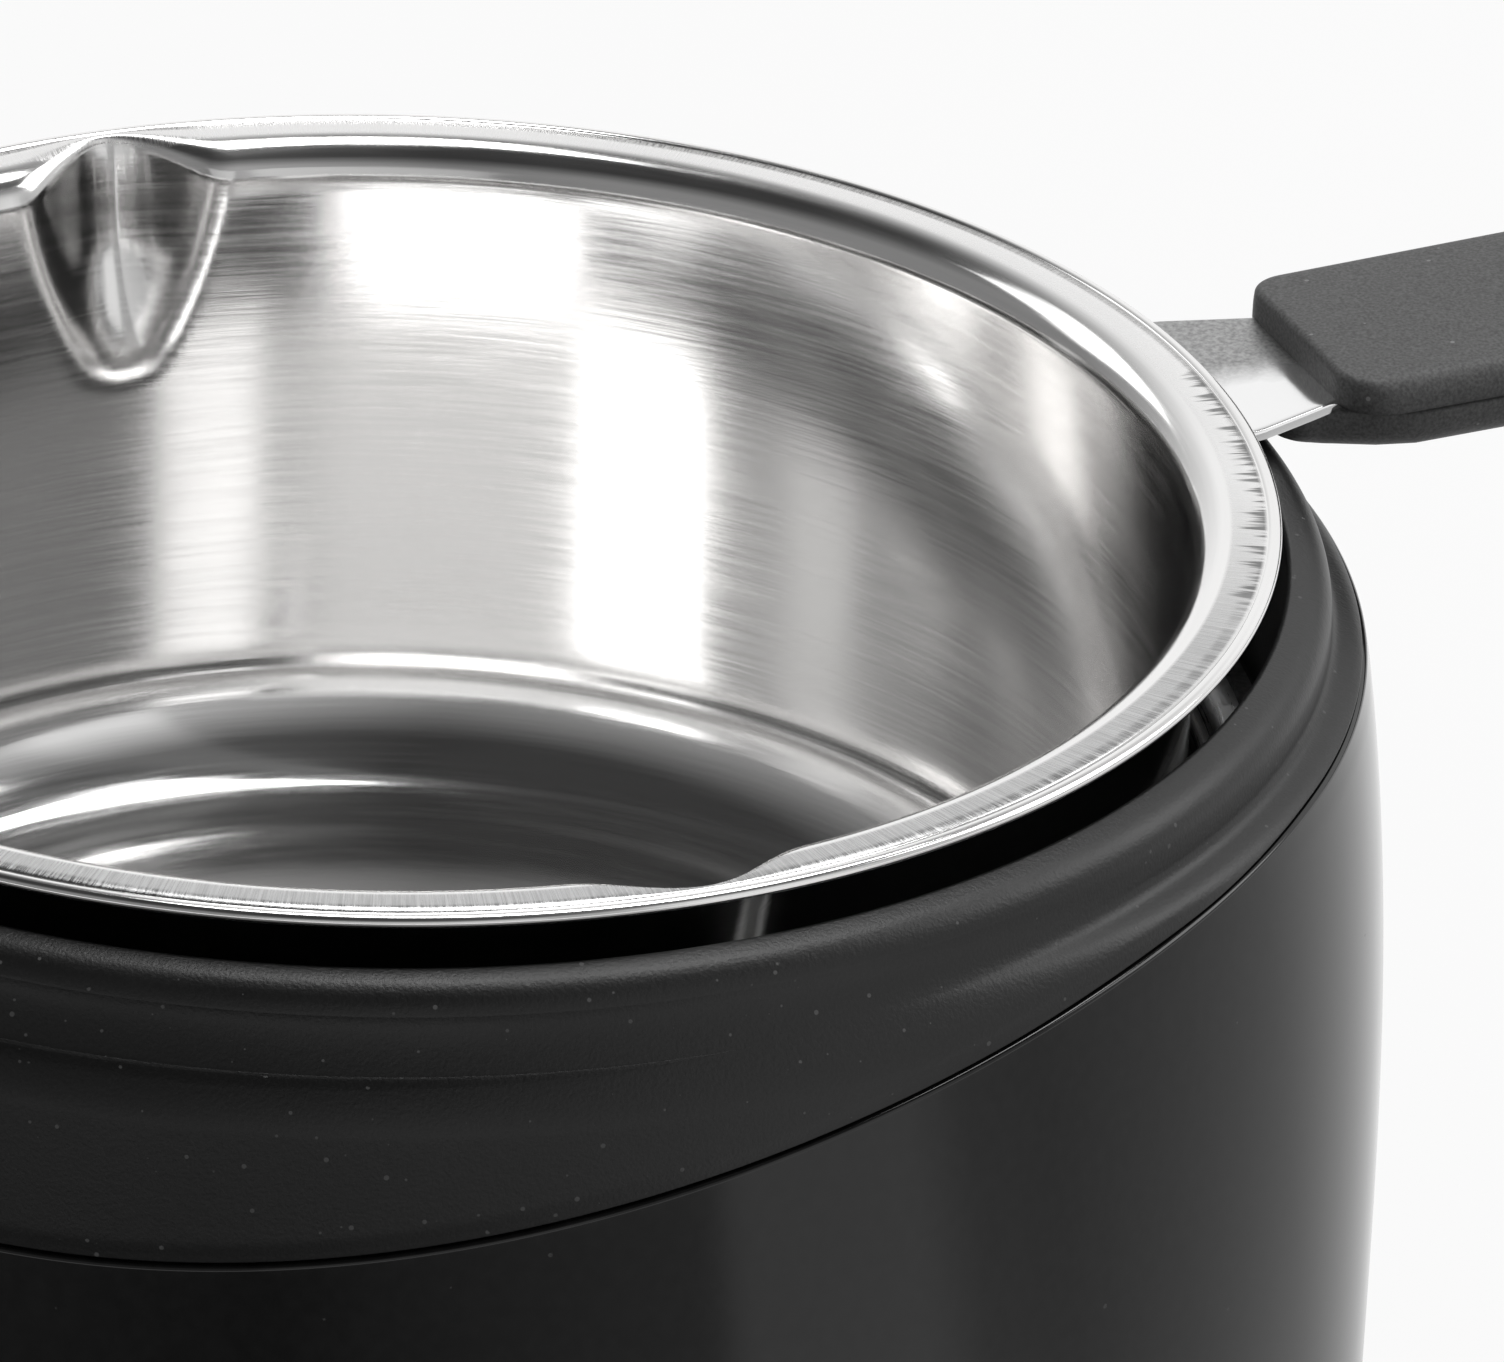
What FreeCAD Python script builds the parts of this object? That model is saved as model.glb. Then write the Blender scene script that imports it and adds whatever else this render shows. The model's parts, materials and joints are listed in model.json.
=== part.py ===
import FreeCAD, Part
import math
import os

# Electric chocolate melter: a spouted steel pot that lifts out of a round heated body.
# Millimetres. The axis of the pot and body is Z, the table is z = 0, and the front,
# where the knob is, faces -Y. Depths are measured down from the top of the pot's flange.

# Heights and outside form
rim_height = 124.0          # table to the top of the pot's flange
foot_gap = 4.0              # table to the lower edge of the body
belly_overhang = 10.4       # widest part of the body beyond the pot's flange
belly_depth = 66.0
shoulder_overhang = 7.6     # where the barrel meets the collar's shoulder
shoulder_depth = 13.5
foot_overhang = 5.6         # barrel at its lower edge
belly_power = 2.8           # how late the barrel turns in above and below the belly
edge_round = 1.6            # lower outside edge of the body

# Collar round the pot
collar_gap = 0.5            # collar's bore beyond the pot's flange
collar_depth = 3.3          # top of the collar below the flange's top
collar_slope = 0.4          # fall of the collar's top towards its outer edge
collar_width = 4.1          # bore to the upper ridge
upper_ridge_round = 3.3
crease_depth = 8.4
crease_round = 0.8
lower_ridge_round = 2.9
collar_wall = 1.5

# Cover, lower body and their parting line
cover_wall = 2.6
body_wall = 2.2
parting_depth = 10.2        # level stretch behind the axis
parting_drop = 13.7         # further drop at the very front
parting_gap = 0.35
tongue_clearance = 0.15
tongue_wall = 1.3
tongue_length = 4.0
cavity_roof = 2.3           # cover's thickness under the shoulder

# Pot
pot_rim_radius = 68.0
pot_flange_width = 6.6      # flange's edge to the inside of the wall
pot_draft = 1.0             # how much the wall narrows to the floor's corner
pot_depth = 56.0            # flange's top to the inside of the floor
pot_corner = 12.0
pot_sheet = 0.8
flange_roll = 2.4           # inside radius from the wall into the flange
bead_radius = 0.6           # rolled outer edge
spout_half_width = 9.5
spout_lip = 0.6             # what is left of the flange at the spout, inside the bead
spout_depth = 18.0
spout_foot_radius = 4.0
handle_turn = 42.4          # handle's direction, from +X towards +Y
pot_lift_gap = 0.3          # pot's floor above the well's floor

# Tang and handle
tang_sheet = 1.15
tang_gap = 0.05             # under the flange's bead
tang_root_width = 22.4
tang_neck_width = 16.4
tang_tab_height = 11.0
tang_in_handle = 58.0
handle_tilt = 2.5           # degrees of rise
handle_offset = 7.8         # flange's edge to the handle's near end
handle_length = 112.0
handle_root_width = 22.4
handle_end_width = 25.8
handle_corner = 4.2         # near corners in plan
handle_upper = 3.0          # above the seam
handle_lower = 4.3          # below the seam
handle_top_round = 2.4
handle_nose_round = 3.0
handle_wall = 1.3
handle_skin = 0.8           # left over the screws' holes
handle_boss_radius = 3.6
handle_screw_places = (20.0, 50.0)
tang_fit = 0.1

# Heated well
well_clearance = 1.2        # pot's wall to the well's wall
well_draft = 0.8            # how much the well narrows to its corner
well_wall = 1.5
well_corner = 13.2
well_flange_depth = 22.0
well_flange_width = 9.5
well_seal_thickness = 0.8
well_seal_inset = 1.3       # seal's inner edge inside the collar's bore
stud_inset = 6.0            # studs' circle inside the element's edge
stud_radius = 2.0
stud_length = 17.6

# Screws
boss_radius = 2.35
boss_inset = 1.9            # collar's bore to the circle of the bosses
boss_gap = 0.3              # round a boss that passes through a notch
screw_radius = 1.3
screw_hole_gap = 0.2
head_radius = 2.5
head_height = 1.8
screw_bite = 9.0
lug_depth = 30.0
lug_thickness = 2.2
lug_width = 9.0
lug_web_height = 12.0
lug_web = 1.0

# Heating parts under the well
element_inset = 0.4         # inside the flat of the pot's floor
element_hole = 13.0
element_thickness = 1.8
clamp_thickness = 1.2
clamp_overhang = 1.5
nut_height = 3.2
nut_flats = 7.0
spacer_length = 5.2
spacer_wall = 1.2
shield_overhang = 4.0       # beyond the element
shield_rim = 7.0
shield_sheet = 0.8
stat_cap_radius = 8.2
stat_flange_radius = 13.0
stat_body_length = 8.0
stat_fit = 0.4
fuse_radius = 2.2
fuse_length = 14.0
strap_sheet = 0.6
strap_width = 5.0
strap_foot = 3.6
tab_width = 4.8
tab_thickness = 0.8
tab_length = 7.0

# Knob and rotary switch
knob_radius = 18.5
knob_face_radius = 16.3
knob_height = 15.6
knob_gap = 0.8              # knob's skirt above the floor of its recess
knob_skirt = 3.0
knob_wall = 2.0
knob_edge_round = 1.4
knob_dish = 0.7
flute_count = 20
flute_radius = 1.7
flute_bite = 0.55
recess_radius = 20.0
recess_depth = 3.4          # at the belly
hub_radius = 5.4
shaft_radius = 3.0
shaft_fit = 0.05
shaft_flat = 0.8
shaft_in_hub = 7.5
hub_gap = 0.6
bushing_radius = 4.75
bushing_gap = 0.25
bushing_rise = 4.0
washer_thickness = 0.8
washer_rim = 2.4
switch_nut_height = 2.4
switch_nut_flats = 14.0
switch_side = 22.0
switch_deep = 7.4
switch_corner = 1.5
switch_tab_pitch = 6.0
pointer_length = 9.0
pointer_width = 1.8
pointer_sink = 1.0
pointer_proud = 0.15
pointer_rest_angle = 60.0   # from upright towards the left-hand mark

# Pilot lamp, cord gland and terminal block
lamp_rise = 12.0            # lamp's axis above the base plate
lamp_radius = 3.0
lamp_recess = 5.6
lamp_recess_depth = 1.1
lamp_flange = 1.4
lamp_flange_thickness = 0.9
lamp_holder_length = 12.0
gland_rise = 11.0           # gland's axis above the base plate
gland_recess = 11.0
gland_recess_depth = 1.6
gland_flange_radius = 9.0
gland_flange = 2.4
gland_radius = 6.0
gland_bore = 3.75
gland_length = 8.0
gland_nut_flats = 16.0
gland_nut_height = 4.0
small_fit = 0.15
block_size = (32.0, 15.0, 12.0)
block_inset = 12.0          # inside the plate's rib
block_post = 4.0
block_poles = 3
block_bore = 2.2

# Base plate and feet
plate_recess = 2.5          # plate's underside above the body's lower edge
plate_thickness = 2.5
plate_fit = 0.3
pillar_inset = 11.6         # inside the barrel's lower edge
pillar_radius = 4.0
pillar_height = 25.0
web_thickness = 2.0
foot_inset = 13.6
foot_pad_radius = 7.5
foot_stem_radius = 2.6
foot_barb = 0.8
foot_turn = 22.0            # feet stand this far round from the pillars
vent_length = 20.0
vent_width = 3.2
vent_pitch = 6.6
vent_count = 5
vent_offset = 23.0
rib_inset = 23.6
rib_height = 2.6
rib_thickness = 1.6
cutter_margin = 20.0        # how far the cutting forms reach past the body

# What follows from the sizes above
pot_wall_radius = pot_rim_radius - pot_flange_width
pot_floor_radius = pot_wall_radius - pot_draft
belly_radius = pot_rim_radius + belly_overhang
shoulder_radius = pot_rim_radius + shoulder_overhang
foot_radius = pot_rim_radius + foot_overhang
collar_bore = pot_rim_radius + collar_gap
upper_ridge = collar_bore + collar_width
boss_circle = collar_bore + boss_inset
element_radius = pot_floor_radius - pot_corner - element_inset
stud_circle = element_radius - stud_inset
shield_radius = element_radius + shield_overhang
nut_corner = nut_flats / math.sqrt(3.0)
fuse_place = (stat_flange_radius + stud_circle - nut_corner) / 2.0
recess_floor = belly_radius - recess_depth
pillar_circle = foot_radius - pillar_inset
foot_circle = foot_radius - foot_inset
rib_circle = foot_radius - rib_inset
block_place = rib_circle - block_inset
body_bottom = foot_gap
foot_depth = rim_height - foot_gap
plate_bottom = foot_gap + plate_recess
plate_top = plate_bottom + plate_thickness
pot_outside_depth = pot_depth + pot_sheet
well_floor_depth = pot_outside_depth + pot_lift_gap
well_under_depth = well_floor_depth + well_wall
well_radius = pot_wall_radius + pot_sheet + well_clearance
tang_depth = 2.0 * bead_radius + tang_gap + tang_sheet / 2.0
lamp_depth = rim_height - plate_top - lamp_rise
gland_depth = rim_height - plate_top - gland_rise
apron_end = parting_depth + parting_drop + tongue_length
knob_depth = (apron_end + lamp_depth - lamp_recess - body_wall) / 2.0
knob_height_z = rim_height - knob_depth
X_AXIS = FreeCAD.Vector(1, 0, 0)
Y_AXIS = FreeCAD.Vector(0, 1, 0)
Z_AXIS = FreeCAD.Vector(0, 0, 1)
ORIGIN = FreeCAD.Vector(0, 0, 0)


def level(depth):
    """Height above the table of a depth below the flange's top."""
    return rim_height - depth


def rounded_wire(corners):
    """Closed wire in the XZ plane through corners (x, z, radius), each rounded by its arc."""
    points = [FreeCAD.Vector(x, 0, z) for x, z, _ in corners]
    ends = []
    arcs = []
    for i, (_, _, radius) in enumerate(corners):
        here = points[i]
        back = (points[i - 1] - here).normalize()
        ahead = (points[(i + 1) % len(points)] - here).normalize()
        if radius <= 0:
            ends.append((here, here))
            arcs.append(None)
            continue
        half = back.getAngle(ahead) / 2.0
        run = radius / math.tan(half)
        start = here + back * run
        stop = here + ahead * run
        towards = (back + ahead).normalize()
        middle = here + towards * (radius / math.sin(half) - radius)
        ends.append((start, stop))
        arcs.append(Part.Arc(start, middle, stop).toShape())
    edges = []
    for i, arc in enumerate(arcs):
        if arc is not None:
            edges.append(arc)
        here = ends[i][1]
        there = ends[(i + 1) % len(ends)][0]
        if here.distanceToPoint(there) > 1e-6:
            edges.append(Part.LineSegment(here, there).toShape())
    return Part.Wire(edges)


def turned(corners):
    """Solid of revolution about Z from a rounded outline in the XZ plane."""
    return Part.Face(rounded_wire(corners)).revolve(ORIGIN, Z_AXIS, 360)


def ring(inner, outer, low, high):
    """Plain ring about Z; an inner radius of nought gives a disc."""
    solid = Part.makeCylinder(outer, high - low, FreeCAD.Vector(0, 0, low))
    if inner > 0:
        solid = solid.cut(Part.makeCylinder(inner, high - low, FreeCAD.Vector(0, 0, low)))
    return solid


def rod(radius, start, stop):
    """Cylinder between two points."""
    along = stop - start
    return Part.makeCylinder(radius, along.Length, start, along)


def tube(inner, outer, start, stop):
    """Hollow cylinder between two points."""
    return rod(outer, start, stop).cut(rod(inner, start, stop))


def box(low, high):
    """Box between two corners."""
    size = high - low
    return Part.makeBox(size.x, size.y, size.z, low)


def polar(radius, angle, height):
    """Point at a radius and an angle in degrees from +X."""
    turn = math.radians(angle)
    return FreeCAD.Vector(radius * math.cos(turn), radius * math.sin(turn), height)


def spun(solid, angle):
    """Copy turned about Z."""
    copy = solid.copy()
    copy.rotate(ORIGIN, Z_AXIS, angle)
    return copy


def joined(solids):
    """All the solids as one, with split faces merged."""
    whole = solids[0].multiFuse(solids[1:]) if len(solids) > 1 else solids[0]
    return whole.removeSplitter()


def hexagon(flats, start, stop, hole):
    """Hexagonal nut between two points, with a plain hole."""
    along = stop - start
    points = []
    for i in range(7):
        turn = math.radians(60 * i)
        corner = flats / math.sqrt(3.0)
        points.append(FreeCAD.Vector(corner * math.cos(turn), corner * math.sin(turn), 0))
    prism = Part.Face(Part.makePolygon(points)).extrude(Z_AXIS * along.Length)
    prism.Placement = FreeCAD.Placement(start, FreeCAD.Rotation(Z_AXIS, along))
    return prism.cut(rod(hole, start, stop))


def screw(place, up, length, head=head_radius):
    """Cross-headed screw; place is the seat of its head, and the shank runs along up."""
    seat_to_top = up * -head_height
    head_solid = rod(head, place + seat_to_top, place)
    slot = head * 1.2
    width = head * 0.26
    sink = head_height * 0.55
    for angle in (0, 90):
        bar = Part.makeBox(slot, width, sink, FreeCAD.Vector(-slot / 2, -width / 2, 0))
        bar.rotate(ORIGIN, Z_AXIS, angle)
        bar.Placement = FreeCAD.Placement(place + seat_to_top, FreeCAD.Rotation(Z_AXIS, up)).multiply(
            bar.Placement)
        head_solid = head_solid.cut(bar)
    return joined([head_solid, rod(screw_radius, place, place + up * length)])


def barrel_radius(depth, inset=0.0):
    """Radius of the barrel at a depth: it falls away from the belly by a power law."""
    if depth < belly_depth:
        share = (belly_depth - depth) / (belly_depth - shoulder_depth)
        fall = belly_radius - shoulder_radius
    else:
        share = (depth - belly_depth) / (foot_depth - belly_depth)
        fall = belly_radius - foot_radius
    return belly_radius - fall * share ** belly_power - inset


def barrel_curve(inset, top, bottom):
    """Side of the barrel as one smooth edge between two depths, going down."""
    count = 13
    points = []
    for i in range(count):
        depth = top + (bottom - top) * i / (count - 1.0)
        points.append(FreeCAD.Vector(barrel_radius(depth, inset), 0, level(depth)))
    curve = Part.BSplineCurve()
    curve.interpolate(points)
    return curve.toShape(), points[0], points[-1]


def barrel_solid(inset, top, bottom):
    """Solid inside the barrel's side, moved in by inset, with flat ends."""
    side, high, low = barrel_curve(inset, top, bottom)
    high_axis = FreeCAD.Vector(0, 0, high.z)
    low_axis = FreeCAD.Vector(0, 0, low.z)
    edges = [Part.LineSegment(high_axis, high).toShape(), side,
             Part.LineSegment(low, low_axis).toShape(),
             Part.LineSegment(low_axis, high_axis).toShape()]
    return Part.Face(Part.Wire(edges)).revolve(ORIGIN, Z_AXIS, 360)


def outside_form():
    """Whole outside of the body: barrel, the two ridges of the collar and a closed top."""
    barrel = barrel_solid(0.0, shoulder_depth, foot_depth)
    low_edge = [e for e in barrel.Edges
                if abs(e.BoundBox.ZMax - body_bottom) < 1e-3 and e.BoundBox.XMax > foot_radius - 1]
    barrel = barrel.makeFillet(edge_round, low_edge)
    ridge_top = collar_depth + collar_slope
    cap = turned([
        (0, level(shoulder_depth), 0),
        (shoulder_radius, level(shoulder_depth), 0),
        (shoulder_radius, level(crease_depth + collar_slope / 2), lower_ridge_round),
        (upper_ridge, level(crease_depth), crease_round),
        (upper_ridge, level(ridge_top), upper_ridge_round),
        (collar_bore, level(collar_depth), 0),
        (0, level(collar_depth), 0),
    ])
    return barrel.fuse(cap).removeSplitter()


def under_parting(shift):
    """Everything under the parting line, moved down by shift: level behind, an arc in front."""
    front = barrel_radius(parting_depth + parting_drop)
    radius = (front ** 2 + parting_drop ** 2) / (2.0 * parting_drop)
    reach = belly_radius + cutter_margin
    half = belly_radius + cutter_margin
    top = level(parting_depth + shift)

    def arc_height(y):
        return top - radius + math.sqrt(radius ** 2 - y ** 2)

    start = FreeCAD.Vector(-half, 0, top)
    middle = FreeCAD.Vector(-half, -reach / 2, arc_height(reach / 2))
    stop = FreeCAD.Vector(-half, -reach, arc_height(reach))
    floor = -10.0
    front_low = FreeCAD.Vector(-half, -reach, floor)
    back_low = FreeCAD.Vector(-half, reach, floor)
    back_top = FreeCAD.Vector(-half, reach, top)
    edges = [Part.Arc(start, middle, stop).toShape()]
    loop = [stop, front_low, back_low, back_top, start]
    for here, there in zip(loop, loop[1:]):
        edges.append(Part.LineSegment(here, there).toShape())
    return Part.Face(Part.Wire(edges)).extrude(X_AXIS * (2 * half))


def well_screw_angles():
    return [30.0 + 120.0 * i for i in range(3)]


def cover_screw_angles():
    return [90.0 + 120.0 * i for i in range(3)]


def make_top_cover():
    """Matte cover: collar, shoulder and the apron that sweeps down at the front."""
    above = outside_form().cut(under_parting(0.0))
    roof = crease_depth + cavity_roof
    inner_wall = collar_bore + collar_wall
    cavity = barrel_solid(cover_wall, roof, parting_depth + parting_drop + 10)
    cavity = cavity.cut(ring(0, inner_wall, level(well_flange_depth - well_seal_thickness), level(roof)))
    bore = ring(0, collar_bore, level(belly_depth), level(0))
    shell = above.cut(cavity)
    outer_inset = body_wall + tongue_clearance
    band_top = crease_depth + 1.4
    band_bottom = parting_depth + parting_drop + tongue_length + 2
    band = barrel_solid(outer_inset, band_top, band_bottom)
    band = band.cut(barrel_solid(outer_inset + tongue_wall, band_top, band_bottom))
    band = band.cut(under_parting(tongue_length))
    pieces = [shell, band]
    seal_top = well_flange_depth - well_seal_thickness
    for angle in well_screw_angles():
        pieces.append(rod(boss_radius, polar(boss_circle, angle, level(seal_top)),
                          polar(boss_circle, angle, level(roof - 0.5))))
    for angle in cover_screw_angles():
        pieces.append(rod(boss_radius, polar(boss_circle, angle, level(lug_depth)),
                          polar(boss_circle, angle, level(roof - 0.5))))
    cover = joined(pieces).cut(bore)
    for angle in well_screw_angles():
        cover = cover.cut(rod(screw_radius, polar(boss_circle, angle, level(seal_top)),
                              polar(boss_circle, angle, level(seal_top - screw_bite))))
    for angle in cover_screw_angles():
        cover = cover.cut(rod(screw_radius, polar(boss_circle, angle, level(lug_depth)),
                              polar(boss_circle, angle, level(lug_depth - screw_bite))))
    return cover


def flat_recess(shell, side, depth, radius, floor, wall, hole):
    """Round flat-floored recess in the barrel's front (side -1) or back (side +1), with a hole."""
    height = level(depth)
    behind = FreeCAD.Vector(0, side * (floor - wall), height)
    face = FreeCAD.Vector(0, side * floor, height)
    outside = FreeCAD.Vector(0, side * (belly_radius + 5), height)
    boss = rod(radius + wall, behind, outside)
    boss = boss.common(barrel_solid(wall / 2, shoulder_depth, foot_depth - edge_round))
    shell = shell.fuse(boss)
    shell = shell.cut(rod(radius, face, outside))
    return shell.cut(rod(hole, behind - Y_AXIS * (side * wall), face))


def make_lower_body():
    """Glossy barrel with the knob's recess, lamp and gland recesses, lugs and pillars."""
    shell = outside_form().common(under_parting(parting_gap))
    inside = barrel_solid(body_wall, crease_depth, foot_depth + 1)
    shell = shell.cut(inside)
    pieces = [shell]
    keep = barrel_solid(body_wall / 2, shoulder_depth, foot_depth - edge_round)
    for angle in cover_screw_angles():
        low = level(lug_depth + lug_thickness)
        inner = boss_circle - boss_radius - 0.8
        lug = box(FreeCAD.Vector(inner, -lug_width / 2, low),
                  FreeCAD.Vector(belly_radius, lug_width / 2, level(lug_depth)))
        for edge in (-lug_width / 2, lug_width / 2 - lug_web):
            web_points = [FreeCAD.Vector(inner, edge, low), FreeCAD.Vector(belly_radius, edge, low),
                          FreeCAD.Vector(belly_radius, edge, low - lug_web_height),
                          FreeCAD.Vector(inner, edge, low)]
            lug = lug.fuse(Part.Face(Part.makePolygon(web_points)).extrude(Y_AXIS * lug_web))
        pieces.append(spun(lug, angle).common(keep))
    for angle in pillar_angles():
        foot = polar(pillar_circle, angle, plate_top)
        pieces.append(rod(pillar_radius, foot, foot + Z_AXIS * pillar_height))
        web = box(FreeCAD.Vector(pillar_circle, -web_thickness / 2, plate_top),
                  FreeCAD.Vector(belly_radius, web_thickness / 2, plate_top + pillar_height - 4))
        pieces.append(spun(web, angle).common(keep))
    body = joined(pieces)
    gap = screw_radius + screw_hole_gap
    for angle in cover_screw_angles():
        body = body.cut(rod(gap, polar(boss_circle, angle, level(lug_depth + lug_thickness + 1)),
                            polar(boss_circle, angle, level(lug_depth))))
    for angle in pillar_angles():
        foot = polar(pillar_circle, angle, plate_top)
        body = body.cut(rod(screw_radius, foot, foot + Z_AXIS * screw_bite))
    body = flat_recess(body, -1, knob_depth, recess_radius, recess_floor, body_wall,
                       bushing_radius + bushing_gap)
    body = flat_recess(body, -1, lamp_depth, lamp_recess, lamp_floor(), body_wall,
                       lamp_radius + small_fit)
    body = flat_recess(body, 1, gland_depth, gland_recess, gland_floor(), body_wall,
                       gland_radius + small_fit)
    return body.removeSplitter()


def lamp_floor():
    return barrel_radius(lamp_depth) - lamp_recess_depth


def gland_floor():
    return barrel_radius(gland_depth) - gland_recess_depth


def pillar_angles():
    return [45.0 + 90.0 * i for i in range(4)]


def foot_angles():
    return [angle + foot_turn for angle in pillar_angles()]


def vent_cutter():
    """One upright slot with round ends, along Y."""
    half = vent_length / 2 - vent_width / 2
    tall = plate_thickness + rib_height + 2
    slot = box(FreeCAD.Vector(-vent_width / 2, -half, -1), FreeCAD.Vector(vent_width / 2, half, tall))
    for y in (-half, half):
        slot = slot.fuse(Part.makeCylinder(vent_width / 2, tall + 1, FreeCAD.Vector(0, y, -1)))
    return slot.removeSplitter()


def make_base_plate():
    """Underside: a flat moulded plate with vents, screw holes, foot sockets and a stiffening rib."""
    radius = barrel_radius(level(plate_bottom)) - body_wall - plate_fit
    plate = ring(0, radius, plate_bottom, plate_top)
    rib = ring(rib_circle - rib_thickness, rib_circle, plate_top, plate_top + rib_height)
    posts = []
    for x in (-1, 1):
        post = FreeCAD.Vector(x * block_size[0] / 3, block_place, plate_top)
        posts.append(rod(block_size[1] / 4, post, post + Z_AXIS * block_post))
    plate = joined([plate, rib] + posts)
    for angle in pillar_angles():
        low = polar(pillar_circle, angle, plate_bottom)
        plate = plate.cut(rod(screw_radius + screw_hole_gap, low, low + Z_AXIS * plate_thickness))
    for angle in foot_angles():
        low = polar(foot_circle, angle, plate_bottom)
        plate = plate.cut(rod(foot_stem_radius, low, low + Z_AXIS * plate_thickness))
    cutter = vent_cutter()
    for side in (-1, 1):
        for i in range(vent_count):
            slot = cutter.copy()
            slot.translate(FreeCAD.Vector((i - (vent_count - 1) / 2.0) * vent_pitch,
                                          side * vent_offset, plate_bottom))
            plate = plate.cut(slot)
    return plate


def make_rubber_feet():
    """Four pads, each with a barbed stem pressed through the plate."""
    feet = []
    for angle in foot_angles():
        centre = polar(foot_circle, angle, 0)
        foot = turned([
            (0, 0, 0), (foot_pad_radius - 0.6, 0, 1.0), (foot_pad_radius, plate_bottom, 0.5),
            (foot_stem_radius, plate_bottom, 0), (foot_stem_radius, plate_top, 0),
            (foot_stem_radius + foot_barb, plate_top, 0), (foot_stem_radius - 0.4, plate_top + 2.4, 0),
            (0, plate_top + 2.4, 0)])
        foot.translate(centre)
        feet.append(foot)
    return Part.makeCompound(feet)


def make_base_screws():
    screws = [screw(polar(pillar_circle, angle, plate_bottom), Z_AXIS, plate_thickness + screw_bite - 1)
              for angle in pillar_angles()]
    return Part.makeCompound(screws)


def make_cover_screws():
    seat = level(lug_depth + lug_thickness)
    length = lug_thickness + screw_bite - 1
    return Part.makeCompound([screw(polar(boss_circle, angle, seat), Z_AXIS, length)
                              for angle in cover_screw_angles()])


def make_well_screws():
    seat = level(well_flange_depth + well_wall)
    length = well_wall + well_seal_thickness + screw_bite - 1
    return Part.makeCompound([screw(polar(boss_circle, angle, seat), Z_AXIS, length)
                              for angle in well_screw_angles()])


def make_heating_well():
    """Spun aluminium well with a screwed flange and three studs for the heater."""
    low_radius = well_radius - well_draft
    flange = well_radius + well_flange_width
    under = level(well_flange_depth + well_wall)
    turn_in = 2.4
    well = turned([
        (0, level(well_floor_depth), 0),
        (low_radius, level(well_floor_depth), well_corner),
        (well_radius, level(well_flange_depth), turn_in + well_wall),
        (flange, level(well_flange_depth), 0),
        (flange, under, 0),
        (well_radius + well_wall, under, turn_in),
        (low_radius + well_wall, level(well_under_depth), well_corner + well_wall),
        (0, level(well_under_depth), 0),
    ])
    pieces = [well]
    for angle in stud_angles():
        top = polar(stud_circle, angle, level(well_under_depth))
        pieces.append(rod(stud_radius, top - Z_AXIS * stud_length, top + Z_AXIS * (well_wall / 2)))
    well = joined(pieces)
    for angle in well_screw_angles():
        place = polar(boss_circle, angle, under)
        well = well.cut(rod(screw_radius + screw_hole_gap, place, place + Z_AXIS * well_wall))
    for angle in cover_screw_angles():
        place = polar(boss_circle, angle, under)
        well = well.cut(rod(boss_radius + boss_gap, place, place + Z_AXIS * well_wall))
    return well


def make_well_seal():
    """Flat silicone gasket between the collar's wall and the well's flange."""
    low = level(well_flange_depth)
    top = level(well_flange_depth - well_seal_thickness)
    seal = ring(collar_bore - well_seal_inset, well_radius + well_flange_width - 0.4, low, top)
    for angle in well_screw_angles():
        seal = seal.cut(rod(screw_radius + screw_hole_gap, polar(boss_circle, angle, low),
                            polar(boss_circle, angle, top)))
    for angle in cover_screw_angles():
        seal = seal.cut(rod(boss_radius + boss_gap / 2, polar(boss_circle, angle, low),
                            polar(boss_circle, angle, top)))
    return seal


def stud_angles():
    return [90.0 + 120.0 * i for i in range(3)]


def at_studs(make):
    return [make(polar(stud_circle, angle, 0)) for angle in stud_angles()]


def heater_levels():
    """Heights of the stack under the well, from the top down."""
    names = ("element", "clamp", "nuts", "spacers", "shield", "shield_nuts", "end")
    steps = (element_thickness, clamp_thickness, nut_height, spacer_length, shield_sheet, nut_height)
    heights = [level(well_under_depth)]
    for step in steps:
        heights.append(heights[-1] - step)
    return dict(zip(names, heights))


def stud_holes(high, low, gap=0.2):
    return Part.makeCompound(at_studs(
        lambda p: rod(stud_radius + gap, FreeCAD.Vector(p.x, p.y, low), FreeCAD.Vector(p.x, p.y, high))))


def make_heating_element():
    """Mica disc with the wound ribbon between its leaves, and two connection tabs."""
    z = heater_levels()
    disc = ring(element_hole, element_radius, z["clamp"], z["element"])
    low = z["element"] - element_thickness / 2 - tab_thickness / 2
    for y in (-6.0, 6.0):
        tab = box(FreeCAD.Vector(-element_radius - 6.0, y - tab_width / 2, low),
                  FreeCAD.Vector(-element_radius + 2.0, y + tab_width / 2, low + tab_thickness))
        disc = disc.fuse(tab)
    return disc.removeSplitter().cut(stud_holes(z["element"], z["clamp"]))


def make_clamp_plate():
    """Steel plate that presses the element flat, with three stiffening flutes."""
    z = heater_levels()
    radius = element_radius + clamp_overhang
    plate = ring(stat_cap_radius + stat_fit, radius, z["nuts"], z["clamp"])
    for angle in (30.0, 150.0, 270.0):
        bar = box(FreeCAD.Vector(stat_flange_radius + 3, -2.0, z["nuts"] - 1.6),
                  FreeCAD.Vector(radius - 4, 2.0, z["nuts"]))
        plate = plate.fuse(spun(bar, angle))
    return plate.removeSplitter().cut(stud_holes(z["clamp"], z["nuts"]))


def make_clamp_nuts():
    z = heater_levels()
    return Part.makeCompound(at_studs(lambda p: hexagon(
        nut_flats, FreeCAD.Vector(p.x, p.y, z["spacers"]), FreeCAD.Vector(p.x, p.y, z["nuts"]),
        stud_radius)))


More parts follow.
